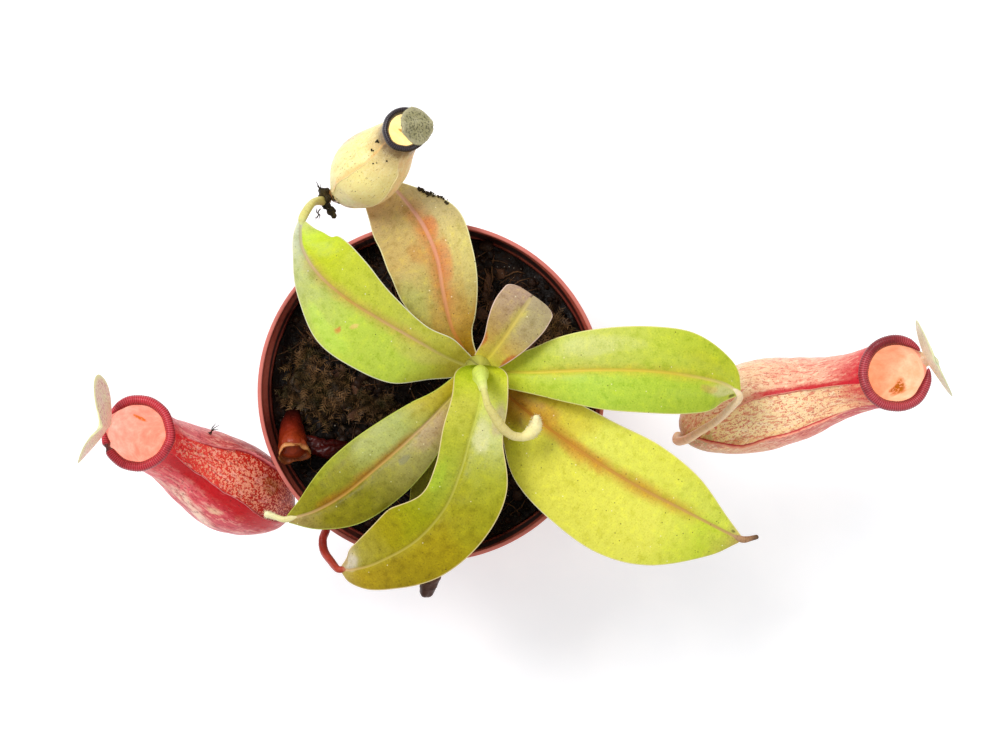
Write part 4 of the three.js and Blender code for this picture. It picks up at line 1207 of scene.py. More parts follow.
stemStops = [(0, "4a3418"), (0.4, "6b5426"), (0.75, "8c7f38"), (1, "a8a848")]
dress(makeStem(), rodSkin("youngBark", stemStops, rings=0.7, rough=0.6), ["stem"])
for tendril in tendrils:
    skin = rodSkin(tendril["name"] + "_skin", tendril["stops"], tendril["rings"])
    dress(makeTendril(tendril), skin, [tendril["name"]])
spearStops = [(0, "c0cc44"), (0.4, "c6d650"), (0.8, "cfdc6c"), (1, "d8d884")]
dress(makeRod("spear_leaf_roll", spear["leaf"], rollSwell, around=48, perMm=5),
      rodSkin("spearLeafSkin", spearStops, 0.15), ["spear_leaf"])
tendrilStops = [(0, "d2d07c"), (0.3, "d8cc7c"), (0.7, "e0d08c"), (1, "ecdf9c")]
dress(makeRod("spear_tendril_rod", spear["tendril"], perMm=4),
      rodSkin("spearTendrilSkin", tendrilStops, 0.15), ["spear_tendril"])
budStops = [(0, "e6d894"), (0.5, "ecdf9e"), (1, "f2e6b4")]
dress(makeRod("spear_bud_body", spear["bud"], budSwell, perMm=5),
      rodSkin("budSkin", budStops, 0.1, rough=0.7), ["spear_bud"])
dress(hairsOn("spear_bud_hairs", spear["bud"], *spear["hairs"], chance, spear["hairsFrom"]),
      hairSkin("budHair", "d8c080", "f8f0cc"))
hairy = next(tendril for tendril in tendrils if "hairs" in tendril)
dress(hairsOn(hairy["name"] + "_hairs", hairy["path"], *hairy["hairs"], chance, hairy["hairsFrom"]),
      hairSkin("tendrilHair", "cfc08c", "f6efc8"))
print("stem, tendrils and spear done")


# Pitchers. Path rows run from the tendril to the mouth: x, y, z and radius of the outside.
# Degrees round a cup are counted so that 90 is the face turned up and back to the plant.

cupShape = {
    "around": 104, "steps": 170, "outer": 0.62, "lip": 0.66, "wall": 0.75, "floor": 0.13,
    "wingThick": 0.28, "wingGrid": (14, 150), "ringAround": 24, "stepsPerRib": 6,
    "lipRise": 0.25, "ridgeWidth": 6, "panelEdge": (2, 14),  # the last two in degrees
    "insidePattern": 80,  # how far the pattern inside is shifted from the one outside
    "ringSeat": 0.3, "ringCurl": 0.55, "ringSag": 0.35, "ringUneven": 0.25,
    "lidAround": 64, "lidSteps": 70, "keel": 0.45, "keelWidth": 0.8, "lidFrill": 0.25,
    "felt": 1500, "feltLength": (0.15, 0.4), "feltWidth": 0.035,
    # lightThrough is painted light: the cups glow by themselves in place of light through their thin walls.
    "lightThrough": 0.42,  # light that comes through the thin walls from outside
}
pitchers = [
    {
        "name": "left", "slot": "cup_red", "ringSlot": "mouth_red", "lidSlot": "lid_speckled",
        "mouthUp": 0.8, "relief": 0.35,
        "path": [
            (-40.4, -32.8, 45.2, 1.6), (-42.4, -32, 47.3, 5), (-45.5, -30.8, 51, 8.6),
            (-50.1, -28.2, 56.5, 11.6), (-55.3, -25, 63.5, 12.5), (-60.7, -21, 71, 11),
            (-65.6, -17, 78, 9), (-70, -13.6, 85, 8), (-74, -10.5, 92, 8.7),
        ],
        "wings": [[(0.3, 78), (0.44, 81), (0.55, 90), (0.69, 90), (0.82, 90), (0.95, 96)],
                  [(0.3, 138), (0.47, 144), (0.57, 153), (0.64, 153), (0.74, 144), (0.86, 138)]],
        "wingTall": 1.1,
        "ridge": (0.5, 0.45),
        "low": [(0.1, "9c2018"), (0.35, "b82c34"), (0.55, "d04a54"), (0.75, "e4686e"), (0.9, "dc4c54"),
                (1.0, "d02830")],
        "streak": ("f6bca8", "a01824", 0.55), "lit": 0.3,
        "band": ("b8040e", 34, 0.95, 0.15),
        "panel": [(0.15, "7c1206"), (0.35, "9c1a0a"), (0.55, "c0281a"), (0.75, "e04438"), (0.9, "dc3434")],
        "spot": ("eea484", 0.58, 0.5, 0.85, (0.62, 0.96)), "sparse": (0.52, 0.26), "fleck": ("3c1410", 0.5),
        "high": [(0.15, "7c100c"), (0.4, "8c1814"), (0.56, "a42c28"), (0.7, "c45450"), (0.82, "dc7478"),
                 (1.0, "d0404a")],
        "dashes": [("f4b4a4", 0.8, 3.5, 0.6, 0.45), ("8c1018", 0.6, 2.5, 0.6, 0.45)],
        "neck": ("d01826", 0.86, 1.0, 0.8), "foot": ("9c3420", 0.22, 0.08, 0.6),
        "blotches": [(0.6, 57, 0.035, 8, "e6b492", 0.9), (0.51, 69, 0.022, 7, "e0a888", 0.9),
                     (0.45, 120, 0.06, 14, "96601c", 0.5), (0.7, 36, 0.12, 12, "f6d0b8", 0.95),
                     (0.57, 28, 0.09, 10, "f6d4bc", 0.9), (0.8, 22, 0.06, 9, "e8b8a0", 0.6)],
        "inside": ("f3b6a2", "fad4c2", "ea9a84"), "stains": [(0.9, 250, 0.035, 5, "c8761c")],
        "ring": {"wide": 1.25, "thick": 0.95, "ribs": 92, "gap": 14, "relief": 0.06,
                 "colours": ("c42c38", "7c0e18", "ea7078"), "hurt": (46, 9, "4c3432"), "damage": 0.16},
        "lid": {"turn": 160, "lean": 1, "length": 17, "width": 11.3, "bend": -3, "lift": 0.5, "reach": -1.7,
                "tilt": (13, -4), "crease": 0.12, "thick": 0.55},
        "lidColours": ("f2d8c4", "c86a78", "eee8b4", 0.6),
    },
    {
        "name": "right", "slot": "cup_cream", "ringSlot": "mouth_red", "lidSlot": "lid_speckled",
        "mouthUp": 0.8, "relief": 0.3,
        "path": [
            (69.5, -11.8, 45.4, 1.6), (71.4, -10.9, 47, 4.8), (74.4, -9, 51, 8.2), (80, -6.2, 56.5, 11.4),
            (88.5, -3.7, 63.5, 12.3), (96.5, -1.9, 70.5, 11), (103.6, 0.2, 77.5, 8.9), (110.7, 2.5, 85, 7.9),
            (118.3, 4.7, 93, 8.7),
        ],
        "wings": [[(0.4, 84), (0.5, 84), (0.64, 75), (0.77, 75), (0.91, 84), (0.98, 90)],
                  [(0.2, 90), (0.28, 96), (0.46, 135), (0.64, 135), (0.77, 138), (0.89, 138)]],
        "wingTall": 1.0,
        "ridge": (0.4, 0.35),
        "low": [(0.1, "a87844"), (0.3, "debc88"), (0.5, "ecc89c"), (0.7, "ecb494"), (0.88, "e89c86"),
                (1.0, "d0404a")],
        "streak": ("fce0bc", "dc7868", 0.4), "lit": 0.12,
        "band": ("c0182a", 13, 0.95, 0.45),
        "panel": [(0.15, "b09440"), (0.3, "e0c87c"), (0.48, "f4daa0"), (0.7, "f6d8a8"), (0.9, "f2c494")],
        "spot": ("c4564a", 0.5, 0.6, 0.85, (1.5, 2.0)), "fleck": ("6c2418", 0.7),
        "high": [(0.15, "a8824c"), (0.4, "e4b488"), (0.6, "e89c84"), (0.8, "d8605f"), (1.0, "bc3440")],
        "dashes": [("d0544c", 0.5, 4.4, 0.555, 0.6), ("fae2bc", 0.8, 3, 0.6, 0.5),
                   ("a8402c", 0.33, 1.6, 0.63, 0.55)],
        "neck": ("cc2434", 0.86, 1.0, 0.85), "foot": ("9c7a34", 0.28, 0.1, 0.7),
        "blotches": [(0.4, 60, 0.07, 12, "963c1c", 0.65), (0.5, 132, 0.3, 5, "f0be80", 0.7),
                     (0.42, 126, 0.12, 6, "b04c28", 0.6), (0.3, 108, 0.1, 14, "8c8034", 0.6)],
        "inside": ("efb592", "f6caa8", "e89e74"),
        "stains": [(0.923, 236, 0.025, 22, "94560c")],
        "ring": {"wide": 1.3, "thick": 0.95, "ribs": 92, "gap": 17, "relief": 0.06,
                 "colours": ("b43842", "640e1a", "e07c80"), "hurt": (90, 46, "781820"), "damage": 0.0},
        "lid": {"turn": 26, "lean": -4.5, "length": 17, "width": 10.5, "bend": -1, "lift": 0.5, "reach": -0.6,
                "tilt": (-2, 1), "crease": 0.0, "thick": 0.55},
        "lidColours": ("eeead0", "b88c90", "dcdcb0", 0.4),
    },
    {
        "name": "top", "slot": "cup_old", "ringSlot": "mouth_dark", "lidSlot": "lid_grey",
        "mouthUp": 0.6, "relief": 0.3,
        "path": [
            (-26, 50.8, 79, 1.3), (-23.7, 51.6, 80.5, 3.3), (-21.2, 52.8, 83, 5.8), (-17.8, 55.3, 87, 8.4),
            (-15, 57.3, 91, 9), (-12, 59.7, 95, 8), (-9.4, 62, 98.5, 6.2), (-7.3, 63.8, 102, 5.1),
            (-5.6, 64.9, 105.5, 5),
        ],
        "wings": [[(0.15, 80), (0.3, 82), (0.5, 84), (0.7, 88), (0.85, 92)],
                  [(0.15, 150), (0.3, 156), (0.5, 160), (0.7, 160), (0.85, 150)]],
        "wingTall": 0.15, "ridge": (0.14, 0.06), "lit": 0.08,
        "low": [(0.05, "9c6c38"), (0.2, "dccf94"), (0.45, "e8dc98"), (0.7, "f2e098"), (0.84, "cdb67c"),
                (0.92, "8f7a54"), (1.0, "7c6444")],
        "streak": ("f6f0c0", "dca86c", 0.3),
        "band": ("e6b068", 9, 0.6, 0.15),
        "panel": [(0.08, "a06c38"), (0.25, "e6d898"), (0.6, "eede90"), (0.8, "d8c084"), (0.9, "957d58"),
                  (1.0, "7c6448")],
        "spot": ("e6cc88", 1.4, 0.62, 0.35, (1.5, 2.0)), "fleck": ("5c4424", 0.22),
        "high": [(0.1, "a87440"), (0.3, "e6cc94"), (0.6, "e8d090"), (0.8, "e0b880"), (0.92, "957d58"),
                 (1.0, "7c6448")],
        "dashes": [("fbf4cc", 0.9, 2.5, 0.6, 0.15), ("8c6434", 0.4, 2.6, 0.67, 0.5)],
        "neck": ("84694a", 0.84, 0.95, 0.75), "foot": ("94602c", 0.2, 0.04, 0.8),
        "blotches": [(0.5, 176, 0.26, 9, "f0c48c", 0.6), (0.55, 8, 0.14, 16, "ec9c90", 0.7),
                     (0.13, 100, 0.05, 26, "7c4420", 0.7), (0.2, 150, 0.06, 10, "8c5028", 0.6),
                     (0.3, 120, 0.1, 14, "dce08c", 0.5)],
        "inside": ("f4e6bc", "faf0ce", "e8d6a0"), "stains": [(0.74, 285, 0.03, 12, "9c8248")],
        "ring": {"wide": 0.85, "thick": 0.75, "ribs": 60, "gap": 14, "relief": 0.02,
                 "colours": ("32282c", "1c1418", "5c5256"), "hurt": (0, 1, "2a2024"), "damage": 0.0},
        "lid": {"turn": 10, "lean": -50, "length": 9.4, "width": 4.8, "bend": 0.8, "lift": 0.5, "reach": 1.7,
                "tilt": (0, 0), "crease": 0.0, "thick": 0.6, "felted": True},
        "lidColours": ("a09a70", "58563c", "b8b08c", 0.8),
    },
]


def cupFrame(cup, t):
    values, forward = along(cup["path"], t), heading(cup["path"], t)
    mouth = heading(cup["path"], 1).lerp(up, cup["mouthUp"]).normalized()
    normal = forward.lerp(mouth, smooth(0.45, 1, t)).normalized()
    side = up.cross(Vector((normal.x, normal.y, 0))).normalized()
    return Vector(values[:3]), values[3], side, normal.cross(side), normal


# The height of one line through (place, value) points.
def lineAt(points, place):
    if place <= points[0][0]:
        return points[0][1]
    for (start, low), (end, high) in zip(points, points[1:]):
        if place <= end:
            return lerp(low, high, (place - start) / (end - start))
    return points[-1][1]


# How far the outside stands off the plain round cup: lumps, two ridges and the panel between.
def cupRelief(cup, t, degrees, point):
    rise = cup["relief"] * lumps(point, 9, 1) + 0.35 * cup["relief"] * lumps(point, 3, 2)
    length = smooth(0.12, 0.3, t) * smooth(1, 0.85, t)
    first, second = (lineAt(line, t) for line in cup["wings"])
    for line in (first, second):
        rise += cup["ridge"][0] * length * math.exp(-((degrees - line) / cupShape["ridgeWidth"]) ** 2)
    near, far = cupShape["panelEdge"]
    sunk = smooth(first + near, first + far, degrees) * smooth(second - near, second - far, degrees)
    rise -= cup["ridge"][1] * length * sunk
    return rise * smooth(0, 0.1, t) * smooth(1.0, 0.93, t)


def onCup(cup, t, degrees, lift=0.0):
    centre, radius, side, other, normal = cupFrame(cup, t)
    out = spoke(side, other, math.radians(degrees))
    point = centre + out * radius
    return point + out * (cupRelief(cup, t, degrees, point) + lift), out, normal


def makeCup(cup):
    steps = cupShape["steps"]
    frames = {}
    total = lengthOf(cup["path"])
    wall = cupShape["wall"]

    def shape(a, v):
        if v <= cupShape["outer"]:
            t, inset, inside = v / cupShape["outer"], 0.0, 0
        elif v <= cupShape["lip"]:
            share = (v - cupShape["outer"]) / (cupShape["lip"] - cupShape["outer"])
            t, inset, inside = 1.0, wall * share, 0.5
        else:
            share = (v - cupShape["lip"]) / (1 - cupShape["lip"])
            t, inset, inside = lerp(1, cupShape["floor"], share), wall, 1
        key = round(v * steps)
        if key not in frames:
            frames[key] = cupFrame(cup, t)
        centre, radius, side, other, normal = frames[key]
        degrees = 270 - 360 * a
        turn = math.radians(degrees)
        out = spoke(side, other, turn)
        closing = min(v / 0.02, 1) if v < 0.5 else min((1 - v) / 0.05, 1)
        closing = math.sqrt(1 - (1 - closing) ** 2)
        place = centre + out * radius
        local = degrees if degrees > -90 else degrees + 360
        reach = (radius - inset + cupRelief(cup, t, local, place)) * closing
        lift = cupShape["lipRise"] * math.sin(math.pi * min(inset / wall, 1)) if inside == 0.5 else 0
        run = t * total + (cupShape["insidePattern"] if inside == 1 else 0)
        straight = (reach * math.cos(turn), reach * math.sin(turn), run)
        return centre + out * reach + normal * lift, straight, ((degrees - 90) / 180, t, inside)

    return wrapGrid(cup["name"] + "_cup_wall", cupShape["around"], steps, shape)


# A value read off a curve through (place, height) points, all from 0 to 1.
def graph(value, points):
    made = addNode("FloatCurve", {1: value})
    curve = made.mapping.curves[0]
    for index, (place, height) in enumerate(points):
        point = curve.points[index] if index < 2 else curve.points.new(place, height)
        point.location, point.handle_type = (place, height), "VECTOR"
    made.mapping.update()
    return made.outputs[0]


def cupSkin(cup):
    startFinish(cup["name"] + "_cup_skin")
    place = attribute("straight")
    share, t, inside = parts(attribute("field"))
    degrees = plus(times(share, 180), 90)
    degrees = plus(degrees, times(sums("LESS_THAN", degrees, -90.0), 360))
    broad, middle = cloud(place, 7, detail=4), cloud(place, 2.2, detail=4)
    fine = cloud(place, 0.5, detail=3)
    long = cloud(place, 1.5, detail=4, stretch=(1, 1, 7), rough=0.6)
    shifted = plus(t, sway(broad, 0.12))
    wobble = sway(middle, 12)
    turned = plus(degrees, wobble)
    lines = []
    for points in cup["wings"]:
        whole = [(0, points[0][1] / 180)] + [(p, d / 180) for p, d in points] + [(1, points[-1][1] / 180)]
        lines.append(times(graph(t, whole), 180))
    fromFirst = minus(degrees, lines[0])
    fromSecond = minus(degrees, lines[1])

    pale, dark, amount = cup["streak"]
    low = ramp(shifted, cup["low"])
    low = layer(low, pale, long, 0.5, 0.68, amount)
    low = layer(low, dark, long, 0.5, 0.32, amount)
    bandCode, width, strength, start = cup["band"]
    band = between(plus(fromFirst, times(wobble, 0.6)), -width, -width * 0.35)
    band = times(band, between(shifted, start, start + 0.2, 0, strength),
                 between(long, 0.25, 0.5, 0.75, 1), between(fromFirst, 1.6, -1.2))

    high = ramp(shifted, cup["high"])
    high = layer(high, pale, long, 0.52, 0.7, amount)
    high = layer(high, dark, long, 0.46, 0.3, amount)

    panel = ramp(shifted, cup["panel"])
    code, size, edge, strength, (fadeStart, fadeEnd) = cup["spot"]
    worms = cloud(place, size, detail=2, rough=0.45, warp=0.8)
    fewer = plus(between(shifted, fadeStart, fadeEnd, 0, 0.09),
                 between(sums("MINIMUM", fromFirst, times(fromSecond, -1.0)), 16, 2, 0, 0.05))
    if "sparse" in cup:
        fewer = plus(fewer, between(shifted, *cup["sparse"], 0, 0.06))
    share = minus(plus(worms, sway(broad, 0.14)), fewer)
    panel = layer(panel, code, share, edge - 0.02, edge + 0.025, strength)

    colour = layer(low, panel, fromFirst, -1.2, 1.6)
    colour = layer(colour, high, fromSecond, -1.6, 1.2)
    for at, around, tall, wide, code, strength in cup["blotches"]:
        blot = oval(shifted, turned, (at, around), (tall, wide))
        blot = times(blot, between(long, 0.38, 0.52, strength * 0.3, strength))
        colour = mixed(blot, colour, code)
    for code, size, stretch, edge, strength in cup["dashes"]:
        dashes = cloud(place, size, detail=2, stretch=(1, 1, stretch), rough=0.5, warp=0.3)
        dashes = plus(dashes, sway(middle, 0.25))
        colour = layer(colour, code, dashes, edge - 0.015, edge + 0.025, strength)
    colour = mixed(band, colour, bandCode)
    code, start, end, strength = cup["neck"]
    neck = times(between(shifted, start, end, 0, strength), between(long, 0.35, 0.55, 0.5, 1))
    colour = mixed(neck, colour, code)
    code, start, end, strength = cup["foot"]
    colour = layer(colour, code, shifted, start, end, strength)
    code, amount = cup["fleck"]
    colour = speckled(colour, code, 0.8, place, 1.1, 0.17, amount * 0.5)
    colour = shaded(colour, ("fff0dc", fine, 0.54, 0.75, 0.5), ("301008", fine, 0.46, 0.25, 0.65))

    base, pale, dark = cup["inside"]
    inner = layer(base, pale, middle, 0.45, 0.7, 0.7)
    inner = layer(inner, dark, middle, 0.5, 0.3, 0.6)
    inner = layer(inner, dark, fine, 0.48, 0.3, 0.3)
    for at, around, tall, wide, code in cup["stains"]:
        sockets = {0: minus(turned, around), 1: 180.0, 2: -180.0}
        away = addNode("Math", sockets, operation="WRAP").outputs[0]
        blot = oval(plus(t, sway(middle, 0.06)), away, (at, 0), (tall, wide))
        inner = mixed(times(blot, between(fine, 0.35, 0.5, 0.5, 1)), inner, code)
    # The cup is made to glow, painted light: the outside by its lit share, the inside fully.
    hollow = between(inside, 0.3, 0.7)
    glowing = mixed(hollow, mixed(cup["lit"], "000000", colour), inner)
    colour = mixed(hollow, colour, inner)
    shining(glowing, cupShape["lightThrough"])
    height = plus(times(long, 0.8), times(fine, 0.3))
    return endFinish(colour, height, 0.16, between(middle, 0.3, 0.7, 0.28, 0.42), glow=0.05, depth=0.8)


# A wing is a thin frilled blade that stands on the cup along one of its two lines.
def makeWing(cup, index):
    line = cup["wings"][index]
    start, end = line[0][0], line[-1][0]
    thick, seed = cupShape["wingThick"], index * 5 + len(cup["name"])

    def shape(a, v):
        t = lerp(start, end, v)
        base, out, normal = onCup(cup, t, lineAt(line, t))
        tangent = out.cross(normal)
        run = t * lengthOfCup[cup["name"]]
        tall = cup["wingTall"] * smooth(0, 0.18, v) * smooth(1, 0.82, v)
        tall *= 1 + 0.35 * lumps((run, seed, 0), 1.1) + 0.2 * lumps((run, seed, 4), 0.5)
        share = (1 - math.cos(fullTurn * a)) / 2
        ends = math.sqrt(math.sin(math.pi * min(max(v, 0), 1)))
        bulge = math.sin(fullTurn * a) * thick / 2 * (1.3 - 0.8 * share) * ends
        swing = 0.45 * lumps((run, seed, 8), 3.0) * share
        point = base + out * (share * (tall + 0.3) - 0.3) + tangent * (bulge + swing)
        return point, (share * tall, 0, run), (share, v, 0)

    return wrapGrid(f"{cup['name']}_wing{index + 1}", *cupShape["wingGrid"], shape)


def wingSkin(cup, pale, deep):
    startFinish(cup["name"] + "_wing_skin")
    place = attribute("straight")
    share = parts(attribute("field"))[0]
    grain = cloud(place, 1.2, stretch=(1, 1, 2))
    # The wing runs from deep red at its foot to a pale top edge: painted shade at the foot and a painted
    # highlight along the edge.
    colour = layer(deep, pale, share, 0.25, 0.9)
    colour = layer(colour, deep, grain, 0.5, 0.7, 0.6)
    return endFinish(colour, grain, 0.05, rough=0.4, glow=0.08, depth=0.6)


def mouthFrame(cup):
    centre, radius, side, other, normal = cupFrame(cup, 1)
    turn = math.radians(cup["lid"]["turn"])
    outward = Vector((math.cos(turn), math.sin(turn), 0))
    flat = (outward - normal * outward.dot(normal)).normalized()
    lidAngle = math.degrees(math.atan2(flat.dot(other), flat.dot(side)))
    return centre, radius, side, other, normal, outward, flat, lidAngle


# The mouth ring is a rolled lip with fine ribs across it. It is open where the lid stands, and
# its ends thin out and curl up there.
def makeRing(cup):
    ring = cup["ring"]
    centre, radius, side, other, normal, _, _, lidAngle = mouthFrame(cup)
    span = 360 - 2 * ring["gap"]
    steps = ring["ribs"] * cupShape["stepsPerRib"]
    lift = cupShape["ringSeat"] + ring["thick"]

    def shape(a, v):
        degrees = lidAngle + ring["gap"] + span * v
        turn = math.radians(degrees)
        ends = min(v, 1 - v)
        size = math.sqrt(min(max(ends / 0.07, 0), 1)) * (0.8 + 0.2 * smooth(0.03, 0.14, ends))
        out = spoke(side, other, turn)
        angle = fullTurn * a
        rib = 0.5 + 0.5 * math.cos(ring["ribs"] * fullTurn * v)
        sag = cupShape["ringSag"] * smooth(0.12, 0.0, ends)
        around = (10 * math.cos(turn), 10 * math.sin(turn), 3)
        uneven = cupShape["ringUneven"] * lumps(around, 5, len(cup["name"]))
        hurt = ring["damage"] * math.exp(-((degrees - lidAngle - ring["hurt"][0]) / 5) ** 2) * 4
        across = ring["wide"] * size * (1 + ring["relief"] * rib) - hurt
        tall = ring["thick"] * size * (1 + ring["relief"] * 1.4 * rib)
        curl = cupShape["ringCurl"] * smooth(-0.2, -1, math.cos(angle)) * size
        x = radius - 0.2 + across * math.cos(angle) + uneven - 0.5 * sag * radius * 0.2
        z = lift + tall * math.sin(angle) - curl - 0.45 * max(0, math.cos(angle)) ** 3 * size + 3.2 * sag
        point = centre + out * x + normal * z
        return point, (x * math.cos(turn), x * math.sin(turn), 3 * a), (math.cos(angle), v, math.sin(angle))

    return wrapGrid(cup["name"] + "_ring_roll", cupShape["ringAround"], steps, shape)


def ringSkin(cup):
    startFinish(cup["name"] + "_ring_skin")
    place = attribute("straight")
    outer, v, _ = parts(attribute("field"))
    ring = cup["ring"]
    base, dark, pale = ring["colours"]
    # The ribs are painted: painted shade in the grooves and a painted highlight on the crests.
    wave = sums("COSINE", times(v, ring["ribs"] * fullTurn))
    broad, fine = cloud(place, 4), cloud(place, 0.4)
    colour = layer(base, dark, wave, 0.2, -0.9, 0.55)
    colour = layer(colour, pale, wave, 0.3, 1, 0.3)
    colour = layer(colour, dark, broad, 0.5, 0.3, 0.5)
    # Painted shade on the roll's inner and outer edges, where it turns down.
    colour = layer(colour, dark, outer, -0.45, -0.9, 0.8)
    colour = layer(colour, dark, outer, 0.6, 0.98, 0.5)
    hurtAt, wide, code = ring["hurt"]
    middle = (hurtAt - ring["gap"]) / (360 - 2 * ring["gap"])
    spread = wide / (360 - 2 * ring["gap"])
    far = sums("ABSOLUTE", minus(v, middle))
    hurt = times(between(far, spread, spread * 0.4), between(fine, 0.3, 0.55, 0.5, 1))
    colour = mixed(hurt, colour, code)
    rough = between(fine, 0.3, 0.7, 0.2, 0.38)
    return endFinish(colour, fine, 0.04, rough, shine=0.3, coat=0.12, coatRough=0.15, glow=0.03)


# The lid grows from the back of the mouth and spreads at once into a leaf-like plate. Its two
# halves fold back by bend and lean out by tilt, and the fold between them leans in by crease.
def makeLid(cup):
    lid = cup["lid"]
    centre, radius, _, _, normal, outward, flat, _ = mouthFrame(cup)
    across = up.cross(outward)
    rise = Matrix.Rotation(math.radians(lid["lean"]), 3, across) @ up
    face = rise.cross(across)
    ring = cup["ring"]
    foot = centre + flat * (radius + lid["reach"]) + normal * (0.6 + 2 * ring["thick"] + lid["lift"])
    rows = [(*(centre + flat * (radius - 0.5) - normal * 1.2), radius * 0.28),
            (*(centre + flat * (radius - 0.5) + normal * 1.2), radius * 0.24)]
    for share in (0.02, 0.12, 0.26, 0.42, 0.58, 0.74, 0.88, 1.0):
        half = max(lid["width"] * math.sin(math.pi * (0.06 + 0.88 * share)) ** 0.7, 0.8)
        half *= smooth(-0.1, 0.16, share)
        rows.append((*(foot + rise * lid["length"] * share), max(half, radius * 0.24)))
    steps = cupShape["lidSteps"]
    stations = walk(rows, steps, 1.5 / steps)
    low, high = lid["tilt"]

    def shape(a, v):
        station = stations[round(v * steps)]
        u = -math.cos(fullTurn * a)
        half = station["values"][0] * station["shrink"]
        height = max((station["point"] - foot).dot(rise), 0)
        side = u * half / lid["width"]
        lean = math.tan(math.radians(lerp(low, high, (side + 1) / 2))) * (0.35 + 0.65 * abs(side))
        lean -= lid["crease"] * (1 - abs(side)) ** 2
        spread = abs(u) ** 0.9 * (1 if u > 0 else -1)
        fold = abs(side) ** 1.2
        point = station["point"] + across * half * spread + face * lid["bend"] * fold
        point += outward * height * lean
        edge = cupShape["lidFrill"] * lumps((u * 9, v * 14, 2), 2.2, len(cup["name"])) * u * u
        point += rise * edge * 1.5 + outward * 0.2 * lumps((u * 8, v * 12, 6), 3.5)
        thick = lid["thick"] / 2 * abs(math.sin(fullTurn * a)) ** 0.6 * station["shrink"]
        keel = cupShape["keel"] * math.exp(-(u * half / cupShape["keelWidth"]) ** 2) * station["shrink"]
        point += face * (thick + keel * 0.3 if a <= 0.5 else -thick - keel)
        edgeAway = min((1 - abs(u)) * half, (1 - v) * lid["length"])
        return point, (u * half, station["run"], edgeAway), (u, v, 0 if a <= 0.5 else 1)

    return wrapGrid(cup["name"] + "_lid_plate", cupShape["lidAround"], steps, shape)


def lidSkin(cup):
    startFinish(cup["name"] + "_lid_skin")
    across, length, fromEdge = parts(attribute("straight"))
    flat = addNode("CombineXYZ", {0: across, 1: length}).outputs[0]
    base, speck, margin, amount = cup["lidColours"]
    broad, fine = cloud(flat, 3.5, detail=4), cloud(flat, 0.5, detail=3)
    worms = cloud(flat, 0.55, detail=2, warp=0.5)
    colour = layer(base, margin, broad, 0.4, 0.65, 0.7)
    colour = layer(colour, speck, worms, 0.5, 0.6, amount)
    colour = layer(colour, margin, fromEdge, 1.6 * mm, 0.2 * mm, 0.9)
    colour = speckled(colour, "4a3a30", 0.7, flat, 1.2, 0.18, 0.22)
    colour = shaded(colour, ("40280c", fine, 0.45, 0.2, 0.4))
    return endFinish(colour, plus(fine, worms), 0.08, rough=0.5, glow=0.12, depth=0.7)


# Short felt covers the old lid.
def lidFelt(cup, piece, chance):
    faces = [face for face in piece.data.polygons if face.area > 1e-8]
    places = []
    for _ in range(cupShape["felt"]):
        face = faces[chance.randrange(len(faces))]
        out = face.normal + Vector([chance.uniform(-0.6, 0.6) for _ in range(3)])
        turn = out.to_track_quat("Z", "Y").to_euler()
        size = (cupShape["feltWidth"], cupShape["feltWidth"], chance.uniform(*cupShape["feltLength"]))
        places.append((face.center / mm, turn, size, chance.random()))
    return scatter(cup["name"] + "_lid_felt", hairPattern(), places)


lengthOfCup = {cup["name"]: lengthOf(cup["path"]) for cup in pitchers}
wingColours = {"left": ("f09090", "a81c2a"), "right": ("f0a48c", "b82838"), "top": ("f0dca0", "e4cc8c")}
for cup in pitchers:
    name = cup["name"]
    dress(makeCup(cup), cupSkin(cup), [name + "_cup"])
    wings = wingSkin(cup, *wingColours[name])
    for index in (0, 1):
        dress(makeWing(cup, index), wings)
    dress(makeRing(cup), ringSkin(cup), [name + "_ring"])
    lidPlate = makeLid(cup)
    dress(lidPlate, lidSkin(cup), [name + "_lid"])
    if "felted" in cup["lid"]:
        dress(lidFelt(cup, lidPlate, chance), hairSkin("lidFelt", "7c7a54", "b4b088"))
    print(name, "pitcher done")


# The dead pitcher on the soil: a dry tube with a curled lip, and its collapsed body

deadPieces = [
    {
        "name": "dead_tube", "folds": 0.1, "around": 64,
        "path": [(-37, -6.3, 69.5, 2), (-37.1, -9, 71.8, 2.9), (-36.8, -11.8, 74.3, 3.5),
                 (-36.4, -14.4, 76.6, 3.7)],
        "stops": [(0, "200604"), (0.3, "440e08"), (0.65, "701e0e"), (1, "8c3012")],
    },
    {
        "name": "dead_lip", "folds": 0.24, "around": 72, "bowl": -0.55,
        "path": [(-36.4, -14.4, 76.6, 3.2), (-36.3, -14.9, 77, 3.4), (-36.1, -15.8, 77.7, 4.1),
                 (-35.9, -16.6, 78.3, 3.8)],
        "stops": [(0, "6c200c"), (0.5, "8c3818"), (0.75, "c88450"), (0.9, "d0925c"), (0.97, "a05424"),
                  (1, "803c18")],
    },
    {
        "name": "dead_body", "folds": 0.3, "around": 64,
        "path": [(-33.6, -13.2, 70.8, 1.6), (-31.4, -14.4, 70.9, 2.2), (-29, -15.4, 71, 2.5),
                 (-26, -15.4, 70.7, 2.3), (-22.8, -14.4, 69.9, 1.2)],
        # The body's near-black reds are its own dark maroon with painted shade, where it lies below the tube.
        "stops": [(0, "4c0e08"), (0.4, "3a0806"), (1, "280604")],
    },
]


def makeDead(piece):
    def swell(t, angle, place):
        creases = 0.5 * math.sin(3 * angle + 3 * t) + lumps(place, 2.6, 7) + 0.35 * lumps(place, 0.9, 8)
        return 1 + piece["folds"] * creases

    bowl = piece.get("bowl", rodShape["bowl"])
    return makeRod(piece["name"] + "_husk", piece["path"], swell, piece["around"], 7, bowl)


for piece in deadPieces:
    skin = rodSkin(piece["name"] + "_skin", piece["stops"], 0.15, rough=0.3, fleck="3a1008")
    dress(makeDead(piece), skin, [piece["name"]])
print("dead pitcher done")


# Debris: dark lumps at the old joint, crumbs on a leaf and a cup, and dark strands

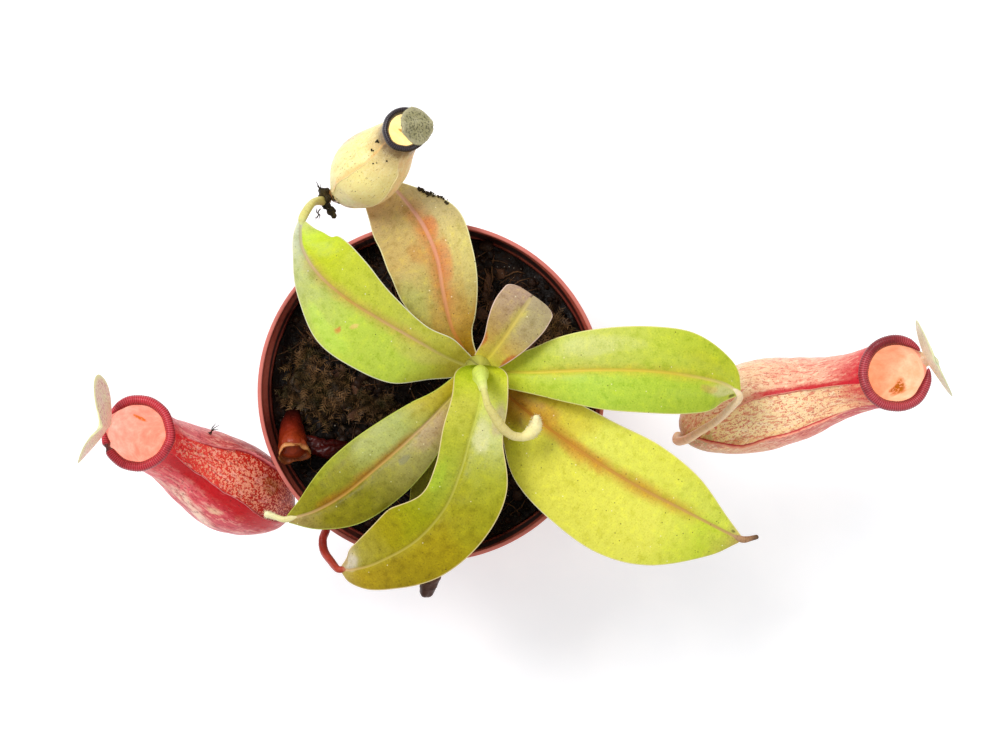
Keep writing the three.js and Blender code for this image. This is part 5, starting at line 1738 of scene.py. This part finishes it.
debris = {
    "lumps": [(-27.8, 51.6, 80.8, 1.5), (-26.6, 50.2, 81.4, 1.3), (-27.2, 48.6, 80, 1.1),
              (-26, 47.2, 79.6, 1.2), (-28.6, 52.4, 79.6, 0.9), (-25.4, 46.0, 79.3, 0.8),
              (-24.8, 51.6, 83.4, 0.7)],
    # place along the old pitcher, degrees round it and size of the dirt on its wall
    "wall": [(0.86, 68, 0.42), (0.87, 74, 0.3), (0.84, 66, 0.26), (0.78, 74, 0.36), (0.79, 78, 0.22),
             (0.72, 98, 0.24), (0.8, 122, 0.26), (0.74, 104, 0.16), (0.16, 108, 0.5), (0.2, 96, 0.34),
             (0.18, 128, 0.3), (0.24, 104, 0.2)],
    # crumbs stuck along the far edge of the top leaf
    "crust": 46, "crustSpan": (0.76, 0.9), "crustReach": (0.9, 1.03), "crustLift": 0.3,
    "strands": [(-57.6, -10.4, 77, 0.6), (-29.4, 46.4, 79.6, 1.2), (-28.2, 52.6, 81, 2.6),
                (-1.2, 50.4, 80.6, 0.9)],
    "strandLength": (3, 5.5), "strandThick": (0.1, 0.2),
}


def makeDebris(name, rows, chance):
    places = []
    for x, y, z, size in rows:
        turn = anyTurn(chance)
        shape = [size * chance.uniform(0.6, 1.1) for _ in range(3)]
        places.append(((x, y, z), turn, shape, chance.random() * 0.4))
    return scatter(name, ballPattern(3, (0.5, 0.55, 3), (0.2, 0.25, 5)), places)


# Crumbs lie along the right margin of a leaf, between two places on it.
def crustRows(leaf, count, start, end, chance):
    rows, places = bladeRows(leaf), []
    for _ in range(count):
        t = lerp(start, end, chance.random())
        x, y, z, _, rightWidth = along(rows, t)
        left = up.cross(heading(rows, t)).normalized()
        reach = rightWidth * chance.uniform(*debris["crustReach"])
        x, y = x - left.x * reach, y - left.y * reach
        z += lerp(*leaf["cup"]["right"], t) * reach + debris["crustLift"]
        places.append((x, y, z, 0.14 + 0.4 * chance.random() ** 2))
    return places


def makeStrands(chance):
    places = []
    for x, y, z, turn in debris["strands"]:
        for _ in range(3):
            tilt = (chance.uniform(-0.3, 0.3), chance.uniform(-0.3, 0.1), turn + chance.uniform(-0.7, 0.7))
            thick = chance.uniform(*debris["strandThick"])
            size = (chance.uniform(*debris["strandLength"]), thick, thick)
            places.append(((x, y, z), tilt, size, chance.random() * 0.3))
    return scatter("dark_strands", fibrePattern((4, 1.5, 2)), places)


dirt = peatSkin("driedDirt", "18120a", "5c4e2c", 0.4)
wallDirt = [(*onCup(pitchers[2], t, degrees)[0], size) for t, degrees, size in debris["wall"]]
dress(makeDebris("joint_dirt", debris["lumps"] + wallDirt, chance), dirt)
crust = crustRows(leaves[1], debris["crust"], *debris["crustSpan"], chance)
dress(makeDebris("leaf_edge_dirt", crust, chance), dirt)
dress(makeStrands(chance), dirt)
print("debris done")
